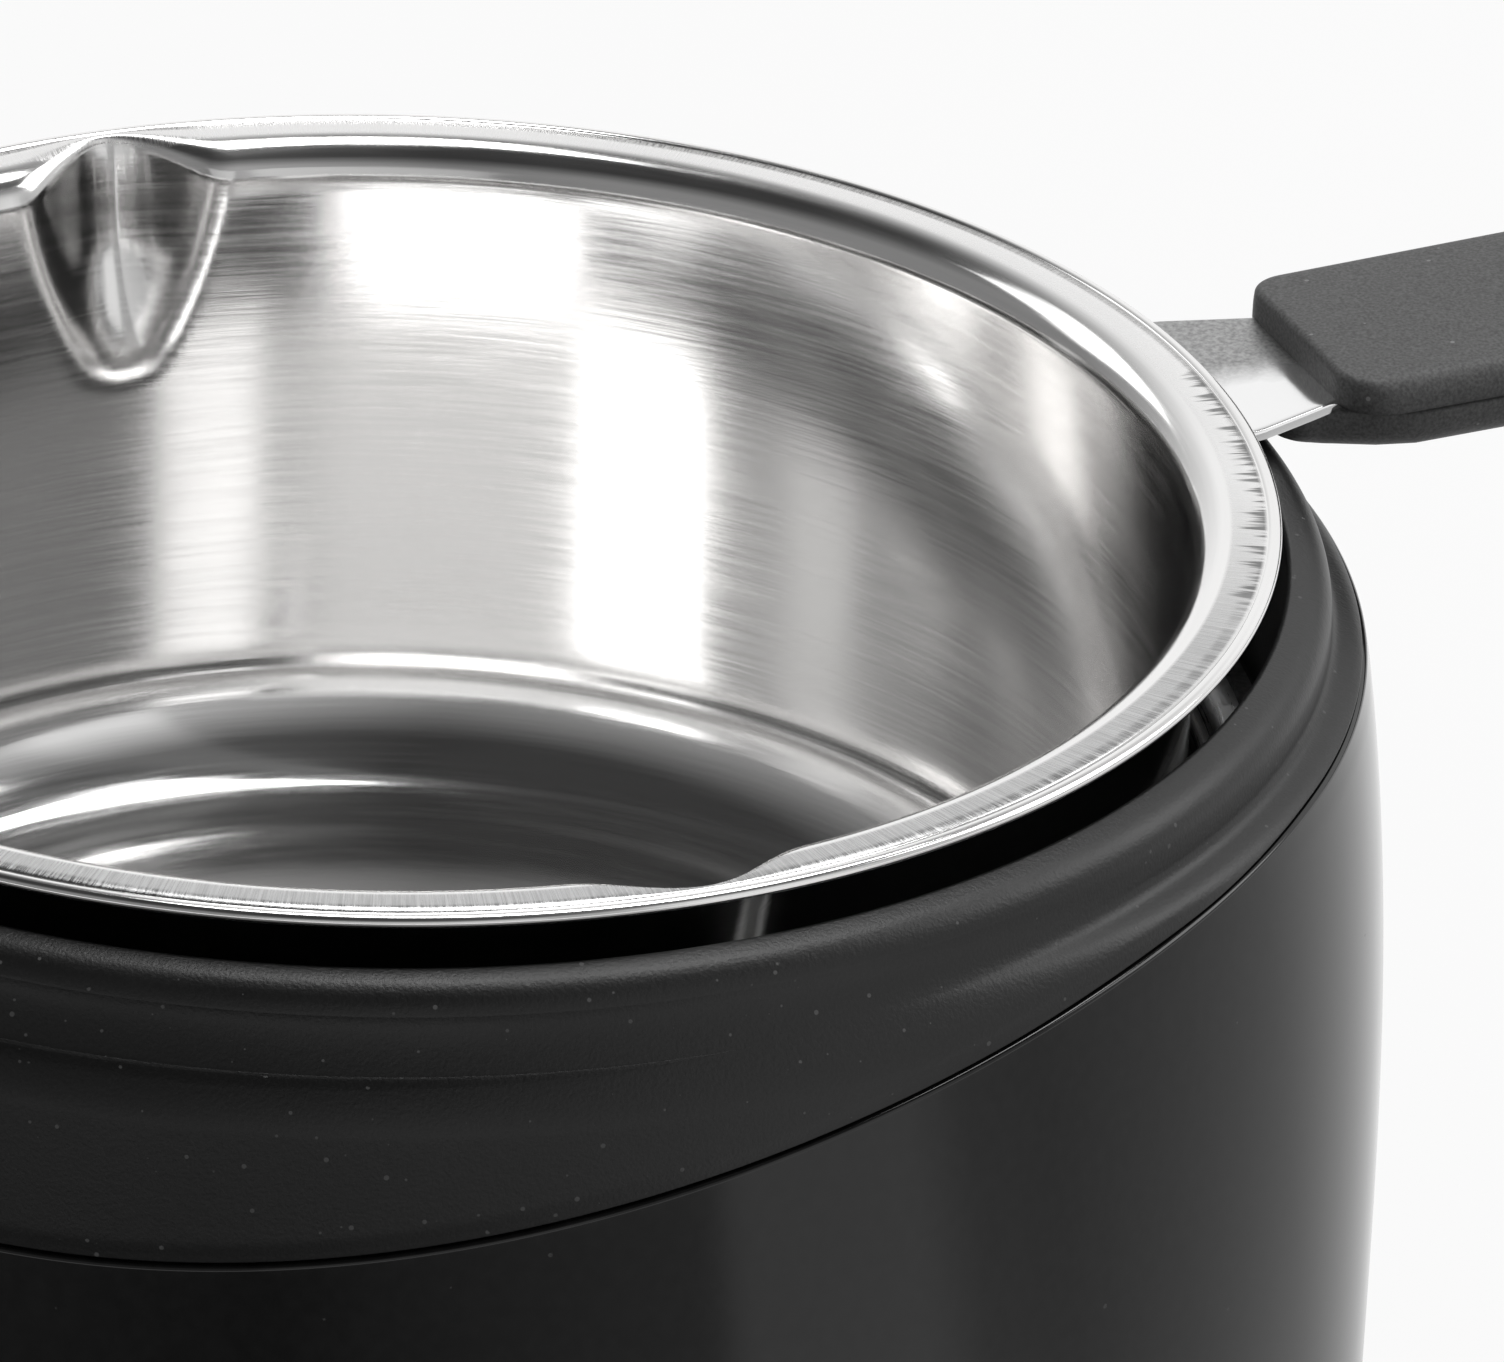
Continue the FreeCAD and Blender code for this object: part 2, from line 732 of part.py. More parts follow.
def make_shield_spacers():
    z = heater_levels()
    return Part.makeCompound(at_studs(lambda p: tube(
        stud_radius + 0.1, stud_radius + spacer_wall, FreeCAD.Vector(p.x, p.y, z["shield"]),
        FreeCAD.Vector(p.x, p.y, z["spacers"]))))


def make_heat_shield():
    """Shallow steel dish that throws the heat back up."""
    z = heater_levels()
    low = z["shield_nuts"]
    high = z["shield"] + shield_rim
    hole = stat_flange_radius + 1.0
    dish = turned([
        (hole, low, 0), (shield_radius, low, 3.0), (shield_radius, high, 0),
        (shield_radius - shield_sheet, high, 0),
        (shield_radius - shield_sheet, z["shield"], 3.0 - shield_sheet), (hole, z["shield"], 0)])
    return dish.cut(stud_holes(z["shield"], z["shield_nuts"]))


def make_shield_nuts():
    z = heater_levels()
    return Part.makeCompound(at_studs(lambda p: hexagon(
        nut_flats, FreeCAD.Vector(p.x, p.y, z["end"]), FreeCAD.Vector(p.x, p.y, z["shield_nuts"]),
        stud_radius)))


def make_thermostat():
    """Bimetal disc thermostat: its cap touches the well through the element's hole."""
    z = heater_levels()
    flange_low = z["nuts"] - 0.8
    body_low = flange_low - stat_body_length
    body = turned([
        (0, z["element"], 0), (stat_cap_radius, z["element"], 0.8), (stat_cap_radius, z["nuts"], 0),
        (stat_flange_radius, z["nuts"], 0), (stat_flange_radius, flange_low, 0),
        (stat_cap_radius, flange_low, 0), (stat_cap_radius, body_low, 0.6), (0, body_low, 0)])
    for x in (-4.0, 4.0):
        tab = box(FreeCAD.Vector(x - tab_thickness / 2, -tab_width / 2, body_low - tab_length),
                  FreeCAD.Vector(x + tab_thickness / 2, tab_width / 2, body_low + 1))
        body = body.fuse(tab)
    return body.removeSplitter()


def fuse_axis():
    """Ends of the thermal fuse, which lies under the clamp plate."""
    z = heater_levels()["nuts"] - fuse_radius
    return FreeCAD.Vector(-fuse_length / 2, fuse_place, z), FreeCAD.Vector(fuse_length / 2, fuse_place, z)


def make_thermal_fuse():
    """Cylindrical thermal fuse with a stub of lead at each end."""
    start, stop = fuse_axis()
    lead = X_AXIS * 5.0
    return joined([rod(fuse_radius, start, stop), rod(0.5, start - lead, start + X_AXIS),
                   rod(0.5, stop - X_AXIS, stop + lead)])


def make_fuse_clip():
    """Sheet strap bent over the fuse, with a foot on each side."""
    start, _ = fuse_axis()
    top = heater_levels()["nuts"]
    outer = fuse_radius + strap_sheet
    x = strap_width / 2
    arch = rod(outer, FreeCAD.Vector(-x, start.y, start.z), FreeCAD.Vector(x, start.y, start.z))
    arch = arch.fuse(box(FreeCAD.Vector(-x, start.y - outer, start.z),
                         FreeCAD.Vector(x, start.y + outer, top)))
    feet = box(FreeCAD.Vector(-x, start.y - outer - strap_foot, top - strap_sheet),
               FreeCAD.Vector(x, start.y + outer + strap_foot, top))
    hollow = rod(fuse_radius, FreeCAD.Vector(-x, start.y, start.z), FreeCAD.Vector(x, start.y, start.z))
    hollow = hollow.fuse(box(FreeCAD.Vector(-x, start.y - fuse_radius, start.z),
                             FreeCAD.Vector(x, start.y + fuse_radius, top)))
    over = box(FreeCAD.Vector(-x, start.y - outer, top), FreeCAD.Vector(x, start.y + outer, top + outer))
    return arch.fuse(feet).cut(hollow).cut(over).removeSplitter()


def front(radius, height=None):
    """Point on the knob's axis at a distance in front of the body's axis."""
    return FreeCAD.Vector(0, -radius, knob_height_z if height is None else height)


def make_switch_body():
    """Rotary switch: its case behind the wall and the threaded bushing through it."""
    inner = recess_floor - body_wall
    half = switch_side / 2
    case = box(FreeCAD.Vector(-half, -inner, knob_height_z - half),
               FreeCAD.Vector(half, -inner + switch_deep, knob_height_z + half))
    upright = [e for e in case.Edges if e.BoundBox.YLength > switch_deep - 0.1]
    case = case.makeFillet(switch_corner, upright)
    bushing = rod(bushing_radius, front(inner - 1), front(recess_floor + bushing_rise))
    whole = case.fuse(bushing).removeSplitter()
    return whole.cut(rod(shaft_radius + shaft_fit, front(inner - switch_deep + 2),
                         front(recess_floor + bushing_rise + 1)))


def make_switch_tabs():
    """Three brass tabs under the switch."""
    middle = -(recess_floor - body_wall - switch_deep / 2)
    under = knob_height_z - switch_side / 2
    tabs = []
    for x in (-switch_tab_pitch, 0.0, switch_tab_pitch):
        tabs.append(box(FreeCAD.Vector(x - tab_width / 2, middle - tab_thickness / 2, under - tab_length),
                        FreeCAD.Vector(x + tab_width / 2, middle + tab_thickness / 2, under)))
    return Part.makeCompound(tabs)


def make_switch_washer():
    return tube(bushing_radius + 0.1, bushing_radius + washer_rim, front(recess_floor),
                front(recess_floor + washer_thickness))


def make_switch_nut():
    low = recess_floor + washer_thickness
    return hexagon(switch_nut_flats, front(low), front(low + switch_nut_height), bushing_radius)


def hub_start():
    return recess_floor + bushing_rise + hub_gap


def make_switch_shaft():
    """Steel shaft, round in the bushing and flatted where the knob grips it."""
    inner = recess_floor - body_wall - switch_deep + 2.5
    shaft = rod(shaft_radius, front(inner), front(hub_start() + shaft_in_hub))
    flat = box(FreeCAD.Vector(-shaft_radius, -(hub_start() + shaft_in_hub + 1),
                              knob_height_z + shaft_radius - shaft_flat),
               FreeCAD.Vector(shaft_radius, -hub_start(), knob_height_z + shaft_radius + 1))
    return shaft.cut(flat)


def knob_frame(solid):
    """From the knob's own frame, axis Z and face up, to its place in front of the recess."""
    placed = solid.copy()
    placed.rotate(ORIGIN, X_AXIS, 90)
    placed.translate(FreeCAD.Vector(0, -(recess_floor + knob_gap), knob_height_z))
    return placed


def make_control_knob():
    """Hollow fluted knob with a skirt, a dished face and a ribbed hub that grips the shaft."""
    outer = turned([
        (0, 0, 0), (knob_radius, 0, 0.5), (knob_radius - 0.4, knob_skirt, 0.8),
        (knob_face_radius + 0.7, knob_skirt + 0.8, 0.6),
        (knob_face_radius, knob_height, knob_edge_round),
        (knob_face_radius - 3.0, knob_height - knob_dish, 1.0), (0, knob_height - knob_dish, 0)])
    flute_centre = knob_face_radius + 0.35 + flute_radius - flute_bite
    flutes = []
    for i in range(flute_count):
        place = polar(flute_centre, 360.0 * (i + 0.5) / flute_count, knob_skirt + 1.2)
        flutes.append(rod(flute_radius, place, place + Z_AXIS * knob_height))
    outer = outer.cut(Part.makeCompound(flutes))
    roof = knob_height - knob_dish - knob_wall
    hollow = turned([
        (0, -1, 0), (knob_radius - knob_wall, -1, 0), (knob_radius - knob_wall - 0.3, knob_skirt, 0),
        (knob_face_radius - knob_wall, knob_skirt + 1.0, 0),
        (knob_face_radius - knob_wall - 0.4, roof, 1.0), (0, roof, 0)])
    shell = outer.cut(hollow)
    hub_low = hub_start() - recess_floor - knob_gap
    hub = ring(0, hub_radius, hub_low, roof + 0.5)
    pieces = [shell, hub]
    for angle in (45.0, 135.0):
        length = knob_face_radius - knob_wall
        rib = box(FreeCAD.Vector(-length, -0.7, hub_low + 2.0), FreeCAD.Vector(length, 0.7, roof + 0.5))
        pieces.append(spun(rib, angle))
    knob = joined(pieces)
    bore = ring(0, shaft_radius, hub_low - 1, hub_low + shaft_in_hub)
    flat = box(FreeCAD.Vector(-shaft_radius, shaft_radius - shaft_flat, hub_low - 2),
               FreeCAD.Vector(shaft_radius, shaft_radius + 1, hub_low + shaft_in_hub + 1))
    knob = knob.cut(bore.cut(flat))
    return knob_frame(knob.cut(pointer_block(0.0)))


def pointer_block(proud):
    """Bar set in the knob's face, from near its centre to the dish's edge."""
    face = knob_height - knob_dish
    start = knob_face_radius - 3.6 - pointer_length
    bar = box(FreeCAD.Vector(-pointer_width / 2, start, face - pointer_sink),
              FreeCAD.Vector(pointer_width / 2, start + pointer_length, face + proud))
    bar.rotate(ORIGIN, Z_AXIS, pointer_rest_angle)
    return bar


def make_knob_pointer():
    return knob_frame(pointer_block(pointer_proud))


def make_pilot_lamp_lens():
    """Small domed lens with a flange on the floor of its recess."""
    height = level(lamp_depth)
    floor = lamp_floor()
    start = floor - body_wall - 2.0
    flange = lamp_radius + lamp_flange
    lens = turned([
        (0, 0, 0), (lamp_radius, 0, 0), (lamp_radius, floor - start, 0), (flange, floor - start, 0),
        (flange, floor - start + lamp_flange_thickness, 0.4),
        (lamp_radius * 0.9, floor - start + lamp_flange_thickness + 0.3, 0.4),
        (0, floor - start + lamp_flange_thickness + 1.1, 0)])
    lens.rotate(ORIGIN, X_AXIS, 90)
    lens.translate(FreeCAD.Vector(0, -start, height))
    return lens


def make_pilot_lamp_holder():
    """Sleeve behind the wall that holds the neon lamp on the lens's stem."""
    height = level(lamp_depth)
    wall = lamp_floor() - body_wall
    stem = wall - 2.0
    holder = rod(lamp_radius + 1.2, FreeCAD.Vector(0, -(wall - lamp_holder_length), height),
                 FreeCAD.Vector(0, -wall, height))
    holder = holder.cut(rod(lamp_radius + small_fit, FreeCAD.Vector(0, -stem, height),
                            FreeCAD.Vector(0, -wall, height)))
    return holder.cut(rod(lamp_radius - 0.6, FreeCAD.Vector(0, -(stem - 7), height),
                          FreeCAD.Vector(0, -stem, height)))


def rear(y):
    """Point on the gland's axis."""
    return FreeCAD.Vector(0, y, level(gland_depth))


def make_cord_gland():
    """Gland in the back wall; its bore is where a mains lead would come out."""
    floor = gland_floor()
    inner = floor - body_wall - gland_length
    length = floor + gland_flange - inner
    gland = turned([
        (gland_bore, 0, 0), (gland_radius, 0, 0), (gland_radius, floor - inner, 0),
        (gland_flange_radius, floor - inner, 0), (gland_flange_radius, length - 0.4, 0.8),
        (gland_bore + 1.6, length, 0.8), (gland_bore + 1.1, length, 0), (gland_bore, length - 1.1, 0)])
    gland.rotate(ORIGIN, X_AXIS, -90)
    gland.translate(rear(inner))
    return gland


def make_gland_nut():
    inner = gland_floor() - body_wall
    return hexagon(gland_nut_flats, rear(inner - gland_nut_height), rear(inner), gland_radius)


def block_corner():
    """Lowest corner of the terminal block."""
    return FreeCAD.Vector(-block_size[0] / 2, block_place - block_size[1] / 2, plate_top + block_post)


def pole_places():
    pitch = block_size[0] / block_poles
    return [(i - (block_poles - 1) / 2.0) * pitch for i in range(block_poles)]


def make_terminal_block():
    """Ceramic block with a barrier between its poles and a wire hole through each."""
    low = block_corner()
    size = FreeCAD.Vector(*block_size)
    block = box(low, low + size)
    middle = low.z + size.z * 0.4
    for x in pole_places():
        block = block.cut(rod(block_bore, FreeCAD.Vector(x, low.y, middle),
                              FreeCAD.Vector(x, low.y + size.y, middle)))
        well = size.x / block_poles / 2 - 1.4
        block = block.cut(box(FreeCAD.Vector(x - well, low.y, low.z + size.z - 2.5),
                              FreeCAD.Vector(x + well, low.y + size.y, low.z + size.z)))
    return block


def make_terminal_screws():
    """Two grub screws on each pole."""
    low = block_corner()
    top = low.z + block_size[2] - 2.5
    screws = []
    for x in pole_places():
        for share in (0.25, 0.75):
            y = low.y + block_size[1] * share
            screws.append(rod(1.6, FreeCAD.Vector(x, y, top), FreeCAD.Vector(x, y, top + 1.4)))
    return Part.makeCompound(screws)


def spout_centre():
    """Distance from the axis of the spout's cone, and its radius at the flange."""
    reach = pot_rim_radius - bead_radius - spout_lip - pot_wall_radius
    radius = (spout_half_width ** 2 + reach ** 2) / (2.0 * reach)
    return pot_wall_radius + reach - radius, radius


def spout_cone(grow, angle):
    """The cone pressed into the wall at a spout, made larger all round by grow."""
    centre, radius = spout_centre()
    foot = level(spout_depth)
    slope = (radius - spout_foot_radius) / spout_depth
    cone = Part.makeCone(spout_foot_radius + grow, radius + grow, spout_depth, FreeCAD.Vector(0, 0, foot))
    cap = Part.makeCylinder(radius + grow, slope + 1.0, FreeCAD.Vector(0, 0, rim_height))
    tip = Part.makeSphere(spout_foot_radius + grow, FreeCAD.Vector(0, 0, foot))
    form = cone.fuse(tip)
    if grow == 0:
        form = form.fuse(cap)
    form.translate(FreeCAD.Vector(centre, 0, 0))
    return spun(form, angle)


def spout_angles():
    return [handle_turn - 90.0, handle_turn + 90.0]


def pot_outside(grow):
    """Outside of the pot without its spouts, as a closed solid made larger all round by grow."""
    under = level(pot_outside_depth) - grow
    sheet_low = level(pot_sheet) - grow
    bead_low = level(2 * bead_radius) - grow
    edge = pot_rim_radius - 2.0 * bead_radius - grow
    rim = pot_rim_radius + grow
    wall = pot_sheet + grow
    return turned([
        (0, under, 0),
        (pot_floor_radius + wall, under, pot_corner + wall),
        (pot_wall_radius + wall, sheet_low, flange_roll - grow),
        (edge, sheet_low, 0),
        (edge, bead_low, bead_radius * 0.5),
        (rim, bead_low, bead_radius * 0.9),
        (rim, rim_height + grow, bead_radius * 0.9),
        (0, rim_height + grow, 0)])


def make_pot():
    """Pressed steel pot: straight wall, rounded floor, rolled flange and two pouring spouts."""
    floor = level(pot_depth)
    outer = pot_outside(0.0)
    inner = turned([
        (0, floor, 0),
        (pot_floor_radius, floor, pot_corner),
        (pot_wall_radius, rim_height, flange_roll + pot_sheet),
        (pot_wall_radius + flange_roll + pot_sheet + 1.0, rim_height, 0),
        (pot_wall_radius + flange_roll + pot_sheet + 1.0, rim_height + 2, 0),
        (0, rim_height + 2, 0)])
    for angle in spout_angles():
        outer = outer.fuse(spout_cone(pot_sheet, angle))
        inner = inner.fuse(spout_cone(0.0, angle))
    return outer.cut(inner).removeSplitter()


def tang_outline():
    """Plan of the tang in the handle's frame: a wide root, a neck and the strip in the handle."""
    root = tang_root_width / 2
    neck = tang_neck_width / 2
    start = -(pot_rim_radius - pot_wall_radius - pot_sheet)
    stop = handle_offset + tang_in_handle
    corners = [(start, root, 0), (0.5, root, 6.0), (handle_offset, neck, 6.0), (stop, neck - 1.0, 4.0)]
    mirrored = [(x, -y, r) for x, y, r in reversed(corners)]
    return rounded_wire(corners + mirrored)


def flat_prism(wire, low, high):
    """Prism over a wire drawn in XZ as a plan, from one height to another."""
    face = Part.Face(wire)
    face.rotate(ORIGIN, X_AXIS, -90)
    face.translate(Z_AXIS * low)
    return face.extrude(Z_AXIS * (high - low))


def handle_frame(solid):
    """From the handle's frame, X outwards from the flange's edge, to its place on the pot."""
    placed = solid.copy()
    placed.rotate(ORIGIN, Y_AXIS, -handle_tilt)
    placed.translate(FreeCAD.Vector(pot_rim_radius, 0, level(tang_depth)))
    placed.rotate(ORIGIN, Z_AXIS, handle_turn)
    return placed


def handle_outline(inset):
    """Plan of the handle: rounded near corners, widening to a round far end."""
    near = handle_offset + inset
    root = handle_root_width / 2 - inset
    far = handle_end_width / 2 - inset
    end = handle_offset + handle_length - inset
    corners = [(near, root, max(handle_corner - inset, 1.0)), (end, far, far * 0.9)]
    mirrored = [(x, -y, r) for x, y, r in reversed(corners)]
    return rounded_wire(corners + mirrored)


def make_handle_tang():
    """Steel strip: a tab welded to the pot's wall, a bend under the flange and the arm."""
    half = tang_sheet / 2
    arm = handle_frame(flat_prism(tang_outline(), -half, half))
    for place in handle_screw_places:
        hole = Part.makeCylinder(screw_radius + 0.3, 4, FreeCAD.Vector(handle_offset + place, 0, -2))
        arm = arm.cut(handle_frame(hole))
    wall = pot_wall_radius + pot_sheet
    top = level(tang_depth) + half
    low = top - tang_tab_height
    side = tang_root_width / 2
    tab = ring(wall, wall + tang_gap + tang_sheet, low, top)
    corner = turned([(wall, top - flange_roll - tang_sheet, 0),
                     (wall + tang_sheet, top - flange_roll - tang_sheet, 0),
                     (wall + tang_sheet + flange_roll, top - tang_sheet, 0),
                     (wall + tang_sheet + flange_roll, top, 0), (wall, top, 0)])
    bend = tab.fuse(corner).common(box(FreeCAD.Vector(0, -side, 0), FreeCAD.Vector(rim_height, side, top)))
    tang = arm.fuse(spun(bend, handle_turn))
    return tang.cut(pot_outside(tang_gap)).removeSplitter()


def handle_half(top, rounding):
    """Half of the handle above the seam, hollow, with its bosses; the seam is z = 0."""
    block = flat_prism(handle_outline(0.0), 0, top)
    crest = [e for e in block.Edges if e.BoundBox.ZMin > top - 1e-3]
    block = block.makeFillet(rounding, crest)
    hollow = flat_prism(handle_outline(handle_wall), 0, top - handle_wall)
    bosses = []
    for place in handle_screw_places:
        bosses.append(Part.makeCylinder(handle_boss_radius, top - 0.5 * handle_wall,
                                        FreeCAD.Vector(handle_offset + place, 0, 0)))
    shell = joined([block.cut(hollow)] + bosses)
    room = tang_sheet / 2 + tang_fit / 2
    slot_half = tang_neck_width / 2 + 3 * tang_fit
    slot = box(FreeCAD.Vector(handle_offset - 6, -slot_half, -1),
               FreeCAD.Vector(handle_offset + tang_in_handle + 1, slot_half, room))
    return shell.cut(slot)


def make_handle_upper_shell():
    shell = handle_half(handle_upper, handle_top_round)
    for place in handle_screw_places:
        shell = shell.cut(Part.makeCylinder(screw_radius, handle_upper - handle_skin,
                                            FreeCAD.Vector(handle_offset + place, 0, 0)))
    return handle_frame(shell)


def make_handle_lower_shell():
    """Lower half: the same form turned over, with sunk screw holes."""
    shell = handle_half(handle_lower, handle_nose_round)
    sink = head_height + 0.6
    for place in handle_screw_places:
        x = handle_offset + place
        shell = shell.cut(Part.makeCylinder(screw_radius + screw_hole_gap, handle_lower + 1,
                                            FreeCAD.Vector(x, 0, -1)))
        shell = shell.cut(Part.makeCylinder(head_radius + 0.3, sink + 1,
                                            FreeCAD.Vector(x, 0, handle_lower - sink)))
    shell.rotate(ORIGIN, X_AXIS, 180)
    return handle_frame(shell)


def make_handle_screws():
    seat = -(handle_lower - head_height - 0.6)
    screws = []
    for place in handle_screw_places:
        screws.append(handle_frame(screw(FreeCAD.Vector(handle_offset + place, 0, seat), Z_AXIS,
                                         -seat + handle_upper - handle_skin - 0.3)))
    return Part.makeCompound(screws)


PIECES = {
    "top_cover": make_top_cover,
    "lower_body": make_lower_body,
    "base_plate": make_base_plate,
    "rubber_feet": make_rubber_feet,
    "base_screws": make_base_screws,
    "cover_screws": make_cover_screws,
    "heating_well": make_heating_well,
    "well_seal": make_well_seal,
    "well_screws": make_well_screws,
    "heating_element": make_heating_element,
    "clamp_plate": make_clamp_plate,
    "clamp_nuts": make_clamp_nuts,
    "shield_spacers": make_shield_spacers,
    "heat_shield": make_heat_shield,
    "shield_nuts": make_shield_nuts,
    "thermostat": make_thermostat,
    "thermal_fuse": make_thermal_fuse,
    "fuse_clip": make_fuse_clip,
    "switch_body": make_switch_body,
    "switch_tabs": make_switch_tabs,
    "switch_washer": make_switch_washer,
    "switch_nut": make_switch_nut,
    "switch_shaft": make_switch_shaft,
    "control_knob": make_control_knob,
    "knob_pointer": make_knob_pointer,
    "pilot_lamp_lens": make_pilot_lamp_lens,
    "pilot_lamp_holder": make_pilot_lamp_holder,
    "cord_gland": make_cord_gland,
    "gland_nut": make_gland_nut,
    "terminal_block": make_terminal_block,
    "terminal_screws": make_terminal_screws,
    "pot": make_pot,
    "handle_tang": make_handle_tang,
    "handle_upper_shell": make_handle_upper_shell,
    "handle_lower_shell": make_handle_lower_shell,
    "handle_screws": make_handle_screws,
}

os.makedirs("parts", exist_ok=True)
for name, make in PIECES.items():
    shape = make()
    shape.exportStep("parts/" + name + ".step")
    print(name, len(shape.Solids), "solids", round(shape.Volume), "mm3", shape.isValid())
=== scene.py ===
# %% [markdown]
# # Dressing an electric chocolate melter
# A steel pot with two pouring spouts and a side handle stands in a round, heated, black body. The
# CAD model holds every piece at its real size. This notebook keeps that model as a fixed frame,
# models the pieces that catch the eye again as smooth surfaces, and gives each one its finish.

# %% Load the frame
import json
import math

import bmesh
import bpy
import numpy as np
from mathutils import Matrix, Vector

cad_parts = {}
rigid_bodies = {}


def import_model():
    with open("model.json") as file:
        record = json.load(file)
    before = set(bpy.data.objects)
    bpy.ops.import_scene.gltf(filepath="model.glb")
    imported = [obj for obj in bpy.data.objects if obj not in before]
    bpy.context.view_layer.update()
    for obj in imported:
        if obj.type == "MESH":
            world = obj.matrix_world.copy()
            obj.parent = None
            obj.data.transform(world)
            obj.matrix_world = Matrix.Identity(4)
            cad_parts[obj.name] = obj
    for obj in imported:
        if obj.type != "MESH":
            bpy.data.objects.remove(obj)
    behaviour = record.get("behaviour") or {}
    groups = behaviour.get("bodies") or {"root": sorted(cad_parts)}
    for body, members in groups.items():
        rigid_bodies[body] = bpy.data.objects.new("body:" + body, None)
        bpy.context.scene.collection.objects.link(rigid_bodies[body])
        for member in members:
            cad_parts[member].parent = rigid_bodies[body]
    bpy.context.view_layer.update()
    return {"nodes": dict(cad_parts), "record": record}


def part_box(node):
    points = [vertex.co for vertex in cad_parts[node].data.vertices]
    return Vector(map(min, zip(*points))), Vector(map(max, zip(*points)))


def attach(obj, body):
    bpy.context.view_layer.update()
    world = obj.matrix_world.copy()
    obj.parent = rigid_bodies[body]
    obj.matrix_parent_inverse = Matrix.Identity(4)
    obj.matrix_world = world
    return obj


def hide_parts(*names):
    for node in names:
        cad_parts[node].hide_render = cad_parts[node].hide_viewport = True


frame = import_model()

MM = 0.001

# %% [markdown]
# ## Sizes
# The frame tells where every part is, so the main sizes are read from it. What a box can't tell,
# such as how round a ridge is, is written down here once. All lengths are millimetres until a
# mesh is made. Depths are measured down from the top of the pot's flange.

# %% Sizes from the frame
def reach(node, axis, end=1):
    """One side of a CAD node's box in millimetres, to a tenth."""
    return round(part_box(node)[end][axis] / MM, 1)


rim_height = reach("pot", 2)
rim_radius = -reach("pot", 0, 0)
belly_radius = reach("lower_body", 0)
body_bottom = reach("lower_body", 2, 0)
knob_height = (reach("control_knob", 2) + reach("control_knob", 2, 0)) / 2
lamp_height = (reach("pilot_lamp_lens", 2) + reach("pilot_lamp_lens", 2, 0)) / 2
gland_height = (reach("cord_gland", 2) + reach("cord_gland", 2, 0)) / 2
foot_depth = rim_height - body_bottom
print("flange radius", rim_radius, "at", rim_height, "mm; belly", belly_radius, "mm; knob at", knob_height)

# %% Sizes of the outlines
belly_depth = 66.0
belly_power = 2.8
shoulder_radius = rim_radius + 7.6
shoulder_depth = 13.5
foot_radius = rim_radius + 5.6
edge_round = 1.6
collar_bore = rim_radius + 0.5
collar_depth = 3.3
ridge_radius = collar_bore + 3.5
ridge_depth = 4.2
ridge_round = 2.8
crease_radius = collar_bore + 3.7
crease_depth = 8.7
crease_round = 1.3
second_radius = collar_bore + 6.5
second_depth = 9.6
second_round = 2.3
seat_depth = 21.2
parting_depth = 9.9
parting_drop = 14.4
parting_gap = 0.16
lip_round = 0.12
body_lip = 0.36
lip_tuck = 0.22
cover_wall = 2.6
body_wall = 2.2
handle_turn = math.radians(42.4)


def level(depth):
    """Height above the table of a depth under the flange's top."""
    return rim_height - depth


# %% [markdown]
# ## The camera
# The photograph was taken from the front right, about 27 degrees above the horizon, through a
# long lens that crops the object closely. The three directions below were fitted to the flange's
# ellipse and to the parting line.

# %% Helper for objects
def placed(name, data):
    """An object that shows the data, linked to the scene and left at the origin."""
    made = bpy.data.objects.new(name, data)
    bpy.context.scene.collection.objects.link(made)
    return made


# %% Camera
camera_place = Vector((253.4, -628.2, rim_height + 337.2)) * MM
camera_heading = math.radians(-19.566)
camera_pitch = math.radians(27.537)
camera_roll = math.radians(2.133)
focal_pixels = 10000.0
frame_width = 1504.0

forward = Vector((math.sin(camera_heading) * math.cos(camera_pitch),
                  math.cos(camera_heading) * math.cos(camera_pitch), -math.sin(camera_pitch)))
level_right = Vector((math.cos(camera_heading), -math.sin(camera_heading), 0))
level_up = level_right.cross(forward)
right = level_right * math.cos(camera_roll) + level_up * math.sin(camera_roll)
up = level_up * math.cos(camera_roll) - level_right * math.sin(camera_roll)

camera = placed("camera", bpy.data.cameras.new("camera"))
turn = Matrix((right, up, -forward)).transposed().to_4x4()
camera.matrix_world = Matrix.Translation(camera_place) @ turn
camera.data.sensor_fit = "HORIZONTAL"
camera.data.sensor_width = 36.0
camera.data.lens = focal_pixels / frame_width * camera.data.sensor_width
camera.data.clip_start = 0.05
bpy.context.scene.camera = camera
print("lens", round(camera.data.lens, 1), "mm")

# %% [markdown]
# ## Surfaces from arrays
# Every new piece is a grid of points. The rows follow an outline and the columns go round or
# across, so a whole shape is one formula on two parameters. NumPy works it out at once, and the
# helpers here only join the points with faces, weld seams and poles, and hand them to Blender.

# %% Outlines
def rounded(corners, steps=8):
    """Outline through corners (x, y, rounding): each corner becomes an arc of its rounding radius.

    The arc's centre is rounding / sin(half the corner's angle) along the bisector, and the arc
    starts rounding / tan(half) before the corner."""
    places = np.array([c[:2] for c in corners], float)
    points = [places[:1]]
    for i in range(1, len(corners) - 1):
        radius = corners[i][2]
        back = places[i - 1] - places[i]
        ahead = places[i + 1] - places[i]
        back, ahead = back / np.linalg.norm(back), ahead / np.linalg.norm(ahead)
        if radius <= 0:
            points.append(places[i:i + 1])
            continue
        half = np.arccos(np.clip(back @ ahead, -1, 1)) / 2
        bisector = (back + ahead) / np.linalg.norm(back + ahead)
        centre = places[i] + bisector * radius / np.sin(half)
        start = places[i] + back * radius / np.tan(half) - centre
        stop = places[i] + ahead * radius / np.tan(half) - centre
        sweep = np.arctan2(start[0] * stop[1] - start[1] * stop[0], start @ stop)
        t = np.linspace(0, sweep, steps + 1)[:, None]
        side = np.array([-start[1], start[0]])
        points.append(centre + start * np.cos(t) + side * np.sin(t))
    points.append(places[-1:])
    return np.concatenate(points)


